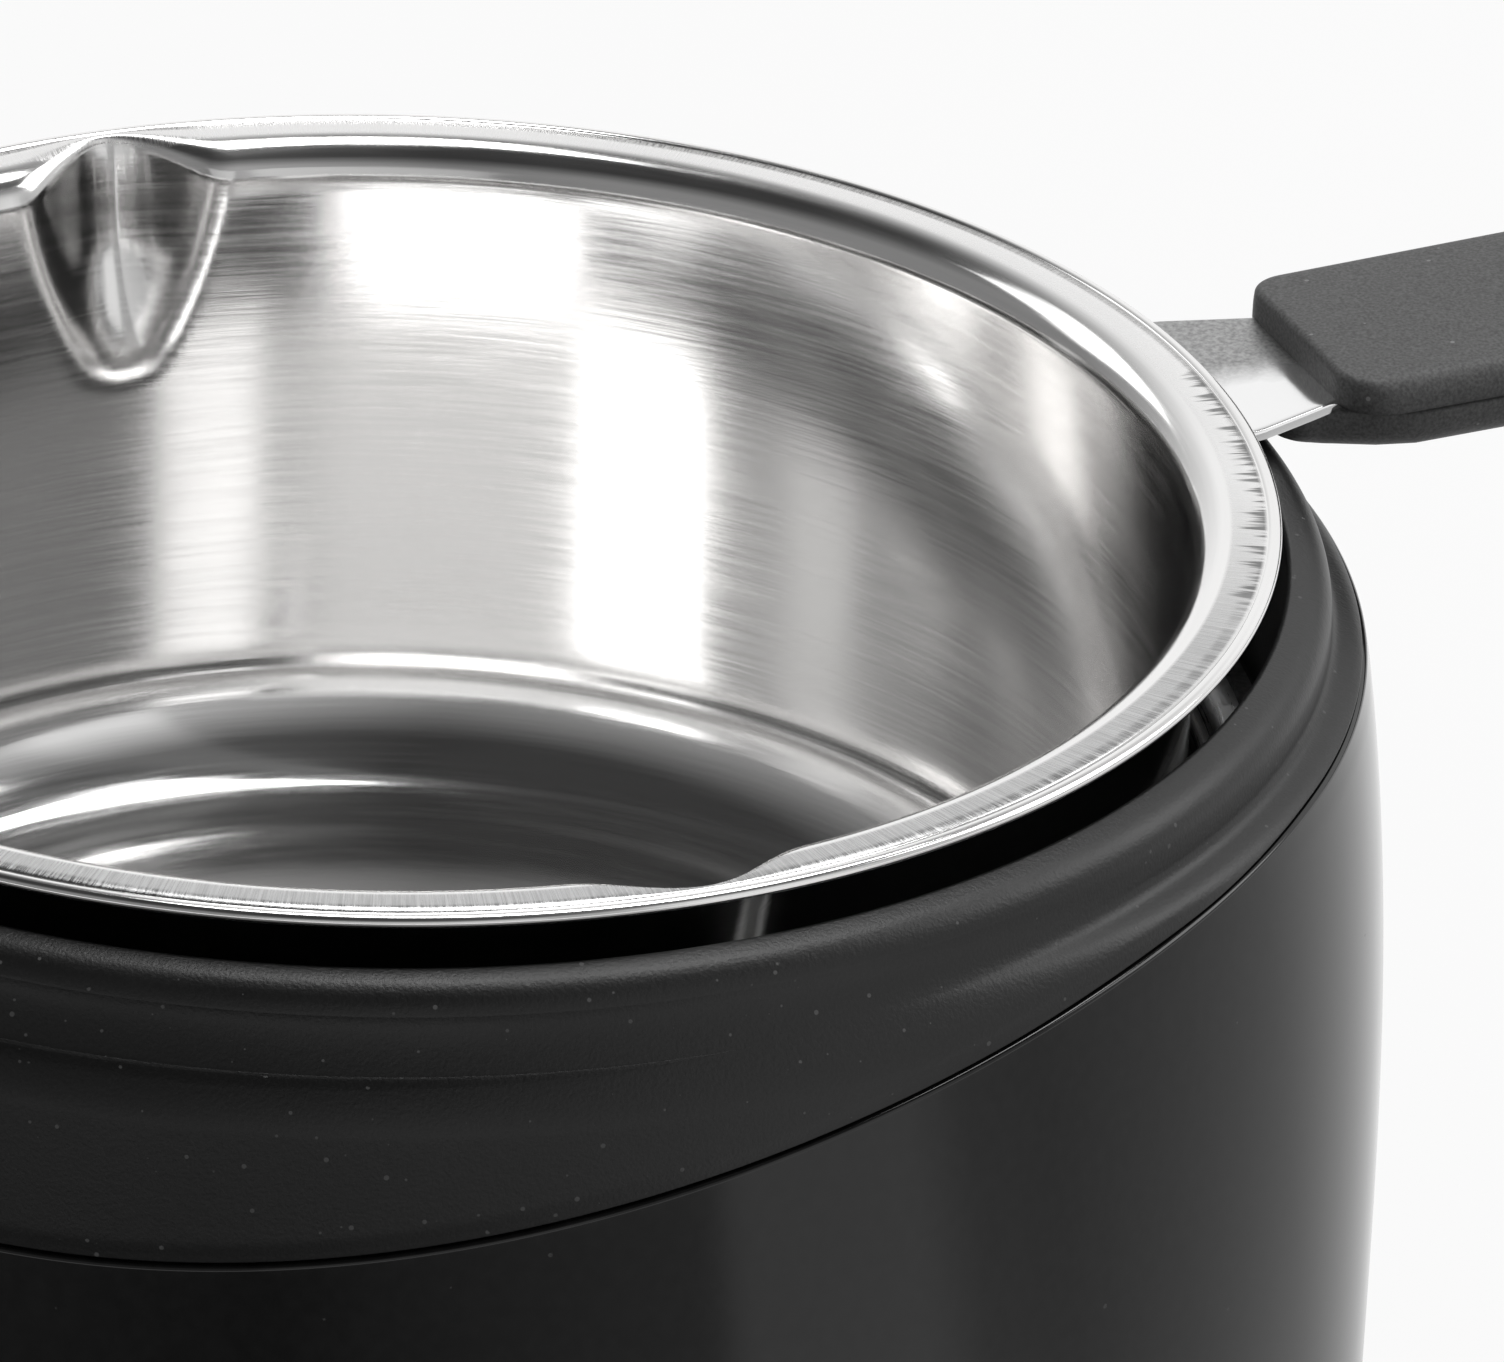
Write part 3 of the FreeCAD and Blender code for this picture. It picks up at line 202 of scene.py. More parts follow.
def evened(path, longest):
    """The same outline with points added so that no step is longer than given."""
    parts = []
    for start, stop in zip(path[:-1], path[1:]):
        count = max(1, math.ceil(np.linalg.norm(stop - start) / longest))
        parts.append(start + (stop - start) * np.linspace(0, 1, count, endpoint=False)[:, None])
    return np.concatenate(parts + [path[-1:]])


# %% Grids and pieces
def skin(shape, round_columns=True, round_rows=False, openings=()):
    """Faces of a grid: the quad at row i, column j joins it to row i + 1 and column j + 1.

    openings is a list of (first row, last row, first column, last column) without faces."""
    rows, columns = shape[:2]
    i, j = np.meshgrid(np.arange(rows if round_rows else rows - 1),
                       np.arange(columns if round_columns else columns - 1), indexing="ij")
    keep = np.ones(i.shape, bool)
    for top, bottom, left, right_side in openings:
        keep &= ~((i >= top) & (i < bottom) & (j >= left) & (j < right_side))
    i, j = i[keep], j[keep]
    below, beside = (i + 1) % rows, (j + 1) % columns
    return np.stack([i * columns + j, below * columns + j, below * columns + beside,
                     i * columns + beside], -1)


def piece(name, patches, body, slot, material, *replaced):
    """One mesh object from patches (points, faces), welded, its faces turned outwards.

    It moves with the body and stands in for the CAD nodes in replaced."""
    points, faces, start = [], [], 0
    for grid, quads in patches:
        flat = np.asarray(grid, float).reshape(-1, 3)
        points.append(flat)
        faces.append(quads + start)
        start += len(flat)
    mesh = bpy.data.meshes.new(name)
    mesh.from_pydata((np.concatenate(points) * MM).tolist(), [], np.concatenate(faces).tolist())
    work = bmesh.new()
    work.from_mesh(mesh)
    bmesh.ops.remove_doubles(work, verts=work.verts, dist=1e-7)
    bmesh.ops.dissolve_degenerate(work, edges=work.edges, dist=1e-8)
    bmesh.ops.recalc_face_normals(work, faces=work.faces)
    work.to_mesh(mesh)
    work.free()
    mesh.shade_smooth()
    mesh.materials.append(material)
    made = placed(name, mesh)
    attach(made, body)
    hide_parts(*replaced)
    print(name, len(mesh.vertices), "points,", len(mesh.polygons), "faces")


# %% Two formulas
def smoothstep(t):
    """0 below 0, 1 above 1, and 3 t^2 - 2 t^3 between."""
    t = np.clip(t, 0, 1)
    return t * t * (3 - 2 * t)


def revolved(radii, depths, turns):
    """Points (radius cos turn, radius sin turn, height) of arrays that share a shape."""
    return np.stack([radii * np.cos(turns), radii * np.sin(turns), level(depths)], -1)


# %% [markdown]
# ## Building materials from nodes
# A material here is the Principled shader fed by small groups of nodes. The groups put out only
# masks and values, so one group can darken a colour in one place and roughen a gloss in another.
# Patterns read Object coordinates, which are metres in the object's own frame, and so stay put.

# %% Helpers for nodes
def feed(tree, socket, value):
    """Links an output to an input, or sets the input if the value is plain."""
    if isinstance(value, bpy.types.NodeSocket):
        tree.links.new(value, socket)
    else:
        socket.default_value = value


def add(tree, kind, inputs=None, **settings):
    """A node of that kind with its settings, and its inputs by name or number."""
    made = tree.nodes.new("ShaderNode" + kind)
    for name, value in settings.items():
        setattr(made, name, value)
    for key, value in (inputs or {}).items():
        feed(tree, made.inputs[key], value)
    return made


def calc(tree, operation, *values):
    """Output of a Math node."""
    return add(tree, "Math", dict(enumerate(values)), operation=operation).outputs[0]


def spread(tree, value, low, high, to_low=0.0, to_high=1.0):
    """Output of a Map Range node: low becomes to_low and high becomes to_high."""
    made = add(tree, "MapRange", {0: value, 1: low, 2: high, 3: to_low, 4: to_high})
    return made.outputs[0]


def tint(tree, factor, first, second):
    """Colour between two colours by a factor."""
    made = add(tree, "Mix", data_type="RGBA")
    feed(tree, made.inputs[0], factor)
    feed(tree, made.inputs[6], first)
    feed(tree, made.inputs[7], second)
    return made.outputs[2]


def grey(value, warmth=0.0):
    """A grey colour, a little warmer or colder."""
    return (value * (1 + warmth), value, value * (1 - warmth), 1.0)


def group(name, inputs, outputs):
    """An empty node group with named float inputs and outputs; returns it with its two ends."""
    tree = bpy.data.node_groups.new(name, "ShaderNodeTree")
    for label, value in inputs.items():
        socket = tree.interface.new_socket(name=label, in_out="INPUT", socket_type="NodeSocketFloat")
        socket.default_value = value
    for label in outputs:
        tree.interface.new_socket(name=label, in_out="OUTPUT", socket_type="NodeSocketFloat")
    return tree, tree.nodes.new("NodeGroupInput"), tree.nodes.new("NodeGroupOutput")


# %% Helpers for groups and shaders
def use(tree, node_group, **inputs):
    """A group placed in a material; its inputs by name, with spaces as underscores."""
    made = tree.nodes.new("ShaderNodeGroup")
    made.node_tree = node_group
    for key, value in inputs.items():
        feed(tree, made.inputs[key.replace("_", " ")], value)
    return made.outputs


def shader(name, **inputs):
    """A material with its Principled shader's own sockets set; returns tree and shader."""
    made = bpy.data.materials.new(name)
    made.use_nodes = True
    principled = made.node_tree.nodes["Principled BSDF"]
    for key, value in inputs.items():
        principled.inputs[key.replace("_", " ")].default_value = value
    return made, made.node_tree, principled


def bump(tree, height, strength, distance):
    """Normal from a height; distance is in metres."""
    return add(tree, "Bump", {"Height": height, "Strength": strength, "Distance": distance}).outputs[0]


# %% [markdown]
# ## Effects shared by several materials
# Four groups do most of the work. **Fine specks** are the tiny light points of dust and pigment
# on black plastic. **Moulded grain** is the fine texture of a mould. **Handling** is the slow,
# cloudy change of gloss where hands and cloths have been. **Turned streaks** follow polar
# coordinates, as polishing marks do on round metal.

# %% Group: fine specks
specks, ends, out = group("fine specks", {"Per metre": 1200.0, "Share": 0.1, "Radius": 0.3}, ["Mask"])
place = add(specks, "TexCoord").outputs["Object"]
cells = add(specks, "TexVoronoi", {"Vector": place, "Scale": ends.outputs["Per metre"]})
chosen = add(specks, "SeparateColor", {0: cells.outputs["Color"]})
rare = calc(specks, "LESS_THAN", chosen.outputs[0], ends.outputs["Share"])
size = calc(specks, "MULTIPLY", chosen.outputs[1], ends.outputs["Radius"])
inside = spread(specks, calc(specks, "SUBTRACT", size, cells.outputs["Distance"]), 0.0, 0.08)
feed(specks, out.inputs["Mask"], calc(specks, "MULTIPLY", rare, inside))

# %% Group: moulded grain
grain, ends, out = group("moulded grain", {"Per metre": 2500.0}, ["Height", "Tone"])
place = add(grain, "TexCoord").outputs["Object"]
fine = add(grain, "TexNoise", {"Vector": place, "Scale": ends.outputs["Per metre"], "Detail": 2.0})
coarse_scale = calc(grain, "MULTIPLY", ends.outputs["Per metre"], 0.31)
coarse = add(grain, "TexNoise", {"Vector": place, "Scale": coarse_scale, "Detail": 1.0})
both = calc(grain, "ADD", calc(grain, "MULTIPLY", fine.outputs[0], 0.65),
            calc(grain, "MULTIPLY", coarse.outputs[0], 0.35))
feed(grain, out.inputs["Height"], both)
feed(grain, out.inputs["Tone"], spread(grain, fine.outputs[0], 0.3, 0.7))

# %% Group: handling
handling, ends, out = group("handling", {"Per metre": 30.0, "Sharpness": 0.2}, ["Mask"])
place = add(handling, "TexCoord").outputs["Object"]
cloud = add(handling, "TexNoise", {"Vector": place, "Scale": ends.outputs["Per metre"],
                                   "Detail": 4.0, "Distortion": 0.6})
low = calc(handling, "SUBTRACT", 0.5, ends.outputs["Sharpness"])
high = calc(handling, "ADD", 0.5, ends.outputs["Sharpness"])
feed(handling, out.inputs["Mask"], spread(handling, cloud.outputs[0], low, high))

# %% Group: turned streaks
streaks, ends, out = group("turned streaks", {"Around": 10.0, "Across": 3000.0, "Up": 3000.0},
                           ["Height", "Radius", "Turn"])
place = add(streaks, "TexCoord").outputs["Object"]
parts = add(streaks, "SeparateXYZ", {0: place})
flat_place = add(streaks, "CombineXYZ", {0: parts.outputs[0], 1: parts.outputs[1]})
radius = add(streaks, "VectorMath", {0: flat_place.outputs[0]}, operation="LENGTH").outputs["Value"]
unit = add(streaks, "VectorMath", {0: flat_place.outputs[0]}, operation="NORMALIZE").outputs[0]
sideways = add(streaks, "VectorMath", {0: unit, "Scale": ends.outputs["Around"]}, operation="SCALE")
outwards = calc(streaks, "ADD", calc(streaks, "MULTIPLY", radius, ends.outputs["Across"]),
                calc(streaks, "MULTIPLY", parts.outputs[2], ends.outputs["Up"]))
lift = add(streaks, "CombineXYZ", {2: outwards})
streak_place = add(streaks, "VectorMath", {0: sideways.outputs[0], 1: lift.outputs[0]}, operation="ADD")
lines = add(streaks, "TexNoise", {"Vector": streak_place.outputs[0], "Scale": 1.0,
                                 "Detail": 3.0, "Roughness": 0.6})
feed(streaks, out.inputs["Height"], lines.outputs[0])
feed(streaks, out.inputs["Radius"], radius)
feed(streaks, out.inputs["Turn"], calc(streaks, "ARCTAN2", parts.outputs[1], parts.outputs[0]))
print("groups:", [made.name for made in (specks, grain, handling, streaks)])

# %% [markdown]
# ## Black plastics
# The cover is a fine matte black with a soft sheen on its ridges, the lower body is polished, and
# the grip has a soft-touch coat. All three are nearly the same colour. What tells them apart is
# roughness and grain, so those carry the detail, and a few specks of dust make the scale readable.

# %% Plastics
def plastic(name, colour, roughness, grain_per_metre, grain_depth, speck_share, speck_tone,
            smudge=0.08, **inputs):
    """A moulded plastic: grain in colour and bump, cloudy roughness and sparse light specks."""
    made, tree, principled = shader(name, **inputs)
    texture = use(tree, grain, Per_metre=grain_per_metre)
    cloud = use(tree, handling, Per_metre=38.0)["Mask"]
    dust = use(tree, specks, Per_metre=1500.0, Share=speck_share, Radius=0.34)["Mask"]
    toned = tint(tree, texture["Tone"], grey(colour * 0.62), grey(colour * 1.45))
    feed(tree, principled.inputs["Base Color"], tint(tree, dust, toned, grey(speck_tone)))
    rough = spread(tree, cloud, 0.0, 1.0, roughness - smudge / 2, roughness + smudge / 2)
    rough = calc(tree, "ADD", rough, calc(tree, "MULTIPLY", dust, 0.25))
    feed(tree, principled.inputs["Roughness"], rough)
    if grain_depth > 0:
        feed(tree, principled.inputs["Normal"], bump(tree, texture["Height"], 1.0, grain_depth * MM))
    return made


cover_black = plastic("cover_black", 0.005, 0.43, 3600.0, 0.045, 0.12, 0.10)
body_black = plastic("body_black", 0.006, 0.10, 900.0, 0.0, 0.004, 0.05, smudge=0.05)
grip_black = plastic("grip_black", 0.080, 0.55, 3600.0, 0.024, 0.06, 0.24)
knob_black = plastic("knob_black", 0.016, 0.36, 4200.0, 0.008, 0.008, 0.12)
inner_black = plastic("inner_black", 0.028, 0.50, 2600.0, 0.020, 0.004, 0.10)
switch_plastic = plastic("switch_plastic", 0.050, 0.42, 2200.0, 0.012, 0.004, 0.12)
foot_rubber = plastic("foot_rubber", 0.020, 0.78, 2400.0, 0.030, 0.030, 0.09, Specular_IOR_Level=0.3)
seal_silicone = plastic("seal_silicone", 0.16, 0.55, 1800.0, 0.010, 0.006, 0.3)
print("plastics:", cover_black.name, body_black.name, grip_black.name)

# %% [markdown]
# ## Steel and other metals
# Metal has almost no colour of its own: it shows what stands round it. Its finish lives in the
# roughness and in fine streaks. The pot is polished inside and satin on its flange, where short
# strokes run outwards. The strokes read the polar coordinates of the turned streaks. Some
# reflection is painted into the colour: the flange's front half is painted a darker grey, the
# strokes beside the handle are painted dark, and the tang's far side is painted grey.

# %% Metals
def metal(name, colour, roughness, around, across, upright, depth, warmth=0.0, smudge=0.10):
    """A turned or rolled metal: streaks in bump and roughness, and faint clouds of handling."""
    made, tree, principled = shader(name, Metallic=1.0)
    marks = use(tree, streaks, Around=around, Across=across, Up=upright)
    cloud = use(tree, handling, Per_metre=45.0)["Mask"]
    rough = spread(tree, marks["Height"], 0.3, 0.7, roughness * 0.75, roughness * 1.25)
    rough = calc(tree, "ADD", rough, calc(tree, "MULTIPLY", cloud, smudge))
    feed(tree, principled.inputs["Roughness"], rough)
    feed(tree, principled.inputs["Base Color"],
         tint(tree, marks["Height"], grey(colour * 0.93, warmth), grey(min(colour * 1.05, 1), warmth)))
    feed(tree, principled.inputs["Normal"], bump(tree, marks["Height"], 1.0, depth * MM))
    return made


# %% Steel of the pot
def window(tree, value, start, stop, fade):
    """1 between start and stop, falling to 0 over fade outside them."""
    rise = spread(tree, value, start - fade, start)
    fall = spread(tree, value, stop, stop + fade, 1.0, 0.0)
    return calc(tree, "MULTIPLY", rise, fall)


def steel_of_the_pot():
    """Polished inside, satin flange with radial streaks, and painted dark strokes beside the handle.

    The masks multiply: flange is the satin ring; a second mask picks its front half, where a darker
    streaked grey is painted shade; a third is the comb of short dark marks of painted reflection
    beside the handle; ragged is the uneven border between satin and bead."""
    made, tree, principled = shader("pot_steel", Metallic=1.0)
    satin_inner, satin_outer = (rim_radius - 3.7) * MM, (rim_radius - 1.4) * MM
    comb_inner, border_inner, bead_edge = [(rim_radius - inset) * MM for inset in (3.6, 2.0, 1.3)]
    turned_marks = use(tree, streaks, Around=4.0, Across=900.0, Up=2600.0)
    radial = use(tree, streaks, Around=380.0, Across=170.0, Up=0.0)
    combed = use(tree, streaks, Around=105.0, Across=70.0, Up=0.0)
    height = add(tree, "SeparateXYZ", {0: add(tree, "TexCoord").outputs["Object"]}).outputs[2]
    top = window(tree, height, (rim_height - 0.6) * MM, (rim_height + 1) * MM, 0.0004)
    ring = window(tree, radial["Radius"], satin_inner, satin_outer, 0.0003)
    flange = calc(tree, "MULTIPLY", top, ring)
    # painted shade: the flange's front half turns to a darker streaked grey; the streaks are satin, the
    # darkening is painted
    front = window(tree, radial["Turn"], math.radians(-150), math.radians(0), 0.45)
    flange_front_painted_shade = calc(tree, "MULTIPLY", flange, spread(tree, front, 0, 1, 0.08, 1.0))
    # painted reflection: short dark strokes on the flange's outer edge beside the handle
    beside = window(tree, radial["Turn"], math.radians(9), math.radians(40), 0.08)
    reach_in = spread(tree, combed["Radius"], comb_inner, bead_edge, 0.66, 0.40)
    teeth = spread(tree, calc(tree, "SUBTRACT", combed["Height"], reach_in), 0.0, 0.10)
    painted_reflection_strokes = calc(tree, "MULTIPLY", calc(tree, "MULTIPLY", beside, flange), teeth)
    cloud = use(tree, handling, Per_metre=60.0)["Mask"]
    satin = spread(tree, radial["Height"], 0.3, 0.7, 0.18, 0.36)
    polished = spread(tree, turned_marks["Height"], 0.3, 0.7, 0.07, 0.15)
    polished = calc(tree, "ADD", polished, calc(tree, "MULTIPLY", cloud, 0.05))
    rough = add(tree, "Mix", {0: flange, 2: polished, 3: satin}).outputs[0]
    rough = calc(tree, "ADD", rough, calc(tree, "MULTIPLY", painted_reflection_strokes, 0.1))
    feed(tree, principled.inputs["Roughness"], rough)
    base = tint(tree, turned_marks["Height"], grey(0.82, 0.006), grey(0.90, 0.006))
    streaked = tint(tree, spread(tree, radial["Height"], 0.35, 0.65), grey(0.43), grey(0.60))
    border = window(tree, radial["Radius"], border_inner, bead_edge, 0.0004)
    ragged = calc(tree, "MULTIPLY", border, spread(tree, combed["Height"], 0.40, 0.56))
    streaked = tint(tree, calc(tree, "MULTIPLY", ragged, 0.40), streaked, grey(0.16))
    # painted shade: the front half of the flange takes the darker streaked grey
    base = tint(tree, flange_front_painted_shade, base, streaked)
    # painted reflection: the strokes darken the colour to nearly black
    feed(tree, principled.inputs["Base Color"],
         tint(tree, calc(tree, "MULTIPLY", painted_reflection_strokes, 0.85), base, grey(0.13)))
    relief = add(tree, "Mix", {0: flange, 2: turned_marks["Height"], 3: radial["Height"]}).outputs[0]
    feed(tree, principled.inputs["Normal"], bump(tree, relief, 1.0, 0.004 * MM))
    return made


pot_steel = steel_of_the_pot()


# %% Steel of the tang and the other metals
def steel_of_the_tang():
    """Far side painted grey as a dark reflection, over a fine grain; polished bright on the side facing the
    spout.
    """
    made, tree, principled = shader("tang_steel", Metallic=1.0)
    parts = add(tree, "SeparateXYZ", {0: add(tree, "TexCoord").outputs["Object"]})
    across = calc(tree, "SUBTRACT", calc(tree, "MULTIPLY", parts.outputs[1], math.cos(handle_turn)),
                  calc(tree, "MULTIPLY", parts.outputs[0], math.sin(handle_turn)))
    cloud = use(tree, handling, Per_metre=160.0)["Mask"]
    far_side_grain = use(tree, grain, Per_metre=2600.0)
    shifted = calc(tree, "ADD", across, spread(tree, cloud, 0, 1, -0.0012, 0.0012))
    # painted reflection: the far side is painted grey for the dark it mirrors, and the near side stays
    # bright
    far = spread(tree, shifted, -0.0030, 0.0010)
    painted_reflection_grey = tint(tree, far_side_grain["Tone"], grey(0.26), grey(0.46))
    feed(tree, principled.inputs["Base Color"], tint(tree, far, grey(0.90), painted_reflection_grey))
    feed(tree, principled.inputs["Roughness"], spread(tree, far, 0, 1, 0.12, 0.36))
    relief = calc(tree, "MULTIPLY", far, far_side_grain["Height"])
    feed(tree, principled.inputs["Normal"], bump(tree, relief, 1.0, 0.010 * MM))
    return made


tang_steel = steel_of_the_tang()
plate_steel = metal("plate_steel", 0.56, 0.34, 30.0, 300.0, 300.0, 0.004)
screw_steel = metal("screw_steel", 0.58, 0.24, 60.0, 400.0, 500.0, 0.004)
well_aluminium = metal("well_aluminium", 0.80, 0.30, 3.0, 2400.0, 1500.0, 0.006)
brass = metal("brass", 0.62, 0.28, 60.0, 500.0, 500.0, 0.004, warmth=0.45)
print("metals:", pot_steel.name, tang_steel.name, well_aluminium.name)

# %% [markdown]
# ## Smaller materials
# The lamp's lens is tinted and lets light through. Mica board, steatite and the printed white of
# the dial are dull and slightly uneven.

# %% Lens, mica, ceramic and print
def dull(name, light, dark, roughness, per_metre, depth):
    """A dull material that mixes two colours by its grain."""
    made, tree, principled = shader(name)
    texture = use(tree, grain, Per_metre=per_metre)
    cloud = use(tree, handling, Per_metre=90.0)["Mask"]
    colour = tint(tree, texture["Tone"], dark, light)
    feed(tree, principled.inputs["Base Color"], colour)
    rough = spread(tree, cloud, 0, 1, roughness - 0.06, roughness + 0.06)
    feed(tree, principled.inputs["Roughness"], rough)
    feed(tree, principled.inputs["Normal"], bump(tree, texture["Height"], 1.0, depth * MM))
    return made


mica = dull("mica", (0.50, 0.42, 0.30, 1), (0.30, 0.24, 0.16, 1), 0.5, 900.0, 0.05)
terminal_ceramic = dull("terminal_ceramic", (0.82, 0.80, 0.74, 1), (0.74, 0.72, 0.66, 1), 0.6, 1500.0, 0.02)
pointer_white = dull("pointer_white", (0.84, 0.84, 0.83, 1), (0.78, 0.78, 0.77, 1), 0.38, 2500.0, 0.004)
dial_white = dull("dial_white", (0.80, 0.80, 0.80, 1), (0.70, 0.70, 0.70, 1), 0.45, 6000.0, 0.002)

lens_red, lens_tree, lens_shader = shader("lens_red", IOR=1.49, Transmission_Weight=0.35)
lens_cloud = use(lens_tree, handling, Per_metre=400.0)["Mask"]
feed(lens_tree, lens_shader.inputs["Base Color"],
     tint(lens_tree, lens_cloud, (0.50, 0.012, 0.008, 1), (0.62, 0.02, 0.012, 1)))
feed(lens_tree, lens_shader.inputs["Roughness"], spread(lens_tree, lens_cloud, 0, 1, 0.08, 0.16))

# %% [markdown]
# ## Materials for the CAD pieces
# Most pieces keep their CAD shape. Each gets the material of its slot, so nothing stays plain.

# %% Dress the CAD nodes
finishes = {
    "cover_black": cover_black, "body_black": body_black, "inner_black": inner_black,
    "foot_rubber": foot_rubber, "screw_steel": screw_steel, "well_aluminium": well_aluminium,
    "seal_silicone": seal_silicone, "mica": mica, "plate_steel": plate_steel,
    "switch_plastic": switch_plastic, "brass": brass, "knob_black": knob_black,
    "pointer_white": pointer_white, "lens_red": lens_red, "terminal_ceramic": terminal_ceramic,
    "pot_steel": pot_steel, "tang_steel": tang_steel, "grip_black": grip_black,
}
for part in frame["record"]["subparts"]:
    shown = frame["nodes"][part["node"]]
    finish = finishes[part["material_slot"]]
    if not shown.material_slots:
        shown.data.materials.append(finish)
    for slot in shown.material_slots:
        slot.material = finish
print(len(frame["nodes"]), "CAD nodes dressed")

# %% [markdown]
# ## The outside of the body
# Cover and lower body share one outline: a collar with two soft ridges round the pot, a shoulder,
# and a barrel that bellies out and draws in towards the feet. The line where they part is level
# behind and sweeps down in front, so the lip's depth depends on where you are round the body.
# The crease between the ridges is clear at the sides and behind, and in front the apron fills it.

# %% Outline of the body
def barrel(depth):
    """Radius of the barrel: belly less a fall that grows as a power of the distance from the belly."""
    above = (belly_depth - depth) / (belly_depth - shoulder_depth)
    below = (depth - belly_depth) / (foot_depth - belly_depth)
    fall_above = (belly_radius - shoulder_radius) * np.clip(above, 0, None) ** belly_power
    fall_below = (belly_radius - foot_radius) * np.clip(below, 0, None) ** belly_power
    return belly_radius - fall_above - fall_below


collar_corners = [
    (collar_bore, collar_depth, 0.45), (ridge_radius, ridge_depth, ridge_round),
    (crease_radius, crease_depth, crease_round), (second_radius, second_depth, second_round),
    (shoulder_radius, shoulder_depth, 0)]
shoulder = rounded(collar_corners, steps=24)
ridge_top = ridge_depth + 0.9
shoulder = shoulder[np.argmax(shoulder[:, 1] > ridge_top):]
bridge_depth = 5.6
bridge_radius = float(np.interp(bridge_depth, shoulder[:, 1], shoulder[:, 0]))
fill_start = 0.22
fill_fade = 0.45

columns = 480
turns = np.arange(columns) * 2 * math.pi / columns
filled = smoothstep((-np.sin(turns) - fill_start) / fill_fade)


def outside(depth, fill=0.0):
    """Radius of the outside at a depth below the upper ridge's top: crease, lower ridge, barrel.

    Where fill is 1 a cubic bridges the crease. It leaves the upper ridge upright and meets the
    barrel at the barrel's slope m: r0 + (r1 - r0)(3s^2 - 2s^3) + (s^3 - s^2) m h, with s the
    share of the way down and h the bridge's height."""
    creased = np.interp(depth, shoulder[:, 1], shoulder[:, 0])
    way = np.clip((depth - bridge_depth) / (shoulder_depth - bridge_depth), 0, 1)
    span = shoulder_depth - bridge_depth
    step = 0.2
    slope = (barrel(shoulder_depth + step) - barrel(shoulder_depth)) / step
    bridge = (bridge_radius + (barrel(shoulder_depth) - bridge_radius) * way ** 2 * (3 - 2 * way)
              + (way ** 3 - way ** 2) * slope * span)
    bridged = np.where(depth < bridge_depth, creased, bridge)
    return np.where(depth < shoulder_depth, creased + (bridged - creased) * fill, barrel(depth))


# %% Parting line
def lip_depth(turns):
    """Depth of the parting line round the body.

    Behind the axis it is level. In front it is an arc in the side view, depth = parting depth
    + radius - sqrt(radius^2 - y^2), and y follows from the body's own radius there."""
    lowest = barrel(parting_depth + parting_drop)
    radius = (lowest ** 2 + parting_drop ** 2) / (2 * parting_drop)
    depth = np.full_like(turns, parting_depth)
    for _ in range(6):
        y = np.minimum(outside(depth, filled) * np.sin(turns), 0)
        depth = parting_depth + radius - np.sqrt(radius ** 2 - y ** 2)
    return depth


lip = lip_depth(turns)
print("parting line from", round(lip.min(), 1), "to", round(lip.max(), 1), "mm under the flange")

# %% [markdown]
# ## The cover
# The upper rows of the cover are a plain revolved outline. Below the upper ridge the rows are
# spread between a fixed depth and the lip, which sweeps down in front. Just above the lip the
# cover draws in a little, so that the edge of the barrel below stands proud and catches the
# light. The surface then turns in and goes back up inside, so the cover has a real wall.

# %% Model the cover
def around(profile):
    """A (radius, depth) outline turned round the axis, as a grid of points."""
    return revolved(profile[:, :1] + 0 * turns, profile[:, 1:] + 0 * turns, turns)


tuck_height = 1.6
collar = evened(rounded([(collar_bore, seat_depth, 0)] + collar_corners, steps=12), 0.6)
collar = collar[(collar[:, 1] < bridge_depth) | (collar[:, 0] < collar_bore + 1)]

share = np.linspace(0, 1, 76)[:, None] ** 1.4
edge = lip - lip_round
apron_depth = bridge_depth + (edge - bridge_depth) * share
tuck = lip_tuck * smoothstep((apron_depth - edge) / tuck_height + 1)
tuck = tuck * smoothstep((lip - parting_depth) / 1.5)
apron = revolved(outside(apron_depth, filled) - tuck, apron_depth, turns)
bend = np.linspace(0, math.pi / 2, 7)[1:, None]
lip_rows = revolved(outside(edge + 0 * bend, filled) - tuck[-1] - lip_round * (1 - np.cos(bend)),
                    edge + lip_round * np.sin(bend), turns)
inner_share = np.linspace(0, 1, 5)[:, None]
inner_depth = lip - (lip - parting_depth + 0.5) * inner_share
inside_rows = revolved(outside(lip, filled) - cover_wall + 0 * inner_share, inner_depth, turns)
tube_wall = around(np.array([(collar_bore + 1.5, parting_depth + 0.2), (collar_bore + 1.5, seat_depth)]))
cover_grid = np.concatenate([around(collar), apron, lip_rows, inside_rows, tube_wall])
piece("top_cover_shell", [(cover_grid, skin(cover_grid.shape, round_rows=True))],
      "base", "cover_black", cover_black, "top_cover")

# %% [markdown]
# ## The lower body
# The barrel is a grid with three windows: for the knob's recess, the lamp's and the cord gland's.
# A patch fills each window. Its rings go from the window's edge to the recess's circle, laid on
# the barrel, then over a small round edge, down the recess's wall, across its flat floor, through
# the hole and back out to the inner wall. So one patch closes the outside and the inside.

# %% Recesses and rings round them
recesses = [
    {"side": -1, "height": knob_height, "radius": 20.0, "hole": 5.0, "half": 22.4,
     "floor": belly_radius - 3.4},
    {"side": -1, "height": lamp_height, "radius": 5.6, "hole": 3.15, "half": 7.4,
     "floor": float(barrel(np.array(rim_height - lamp_height))) - 1.1},
    {"side": 1, "height": gland_height, "radius": 11.0, "hole": 6.15, "half": 12.6,
     "floor": float(barrel(np.array(rim_height - gland_height))) - 1.6},
]
recess_edge = 0.35
inner_edge = 0.2


def barrel_y(x, z, side, inset):
    """Distance from the XZ plane of the barrel, moved in by inset: sqrt(radius^2 - x^2)."""
    return side * np.sqrt((barrel(rim_height - z) - inset) ** 2 - x ** 2)


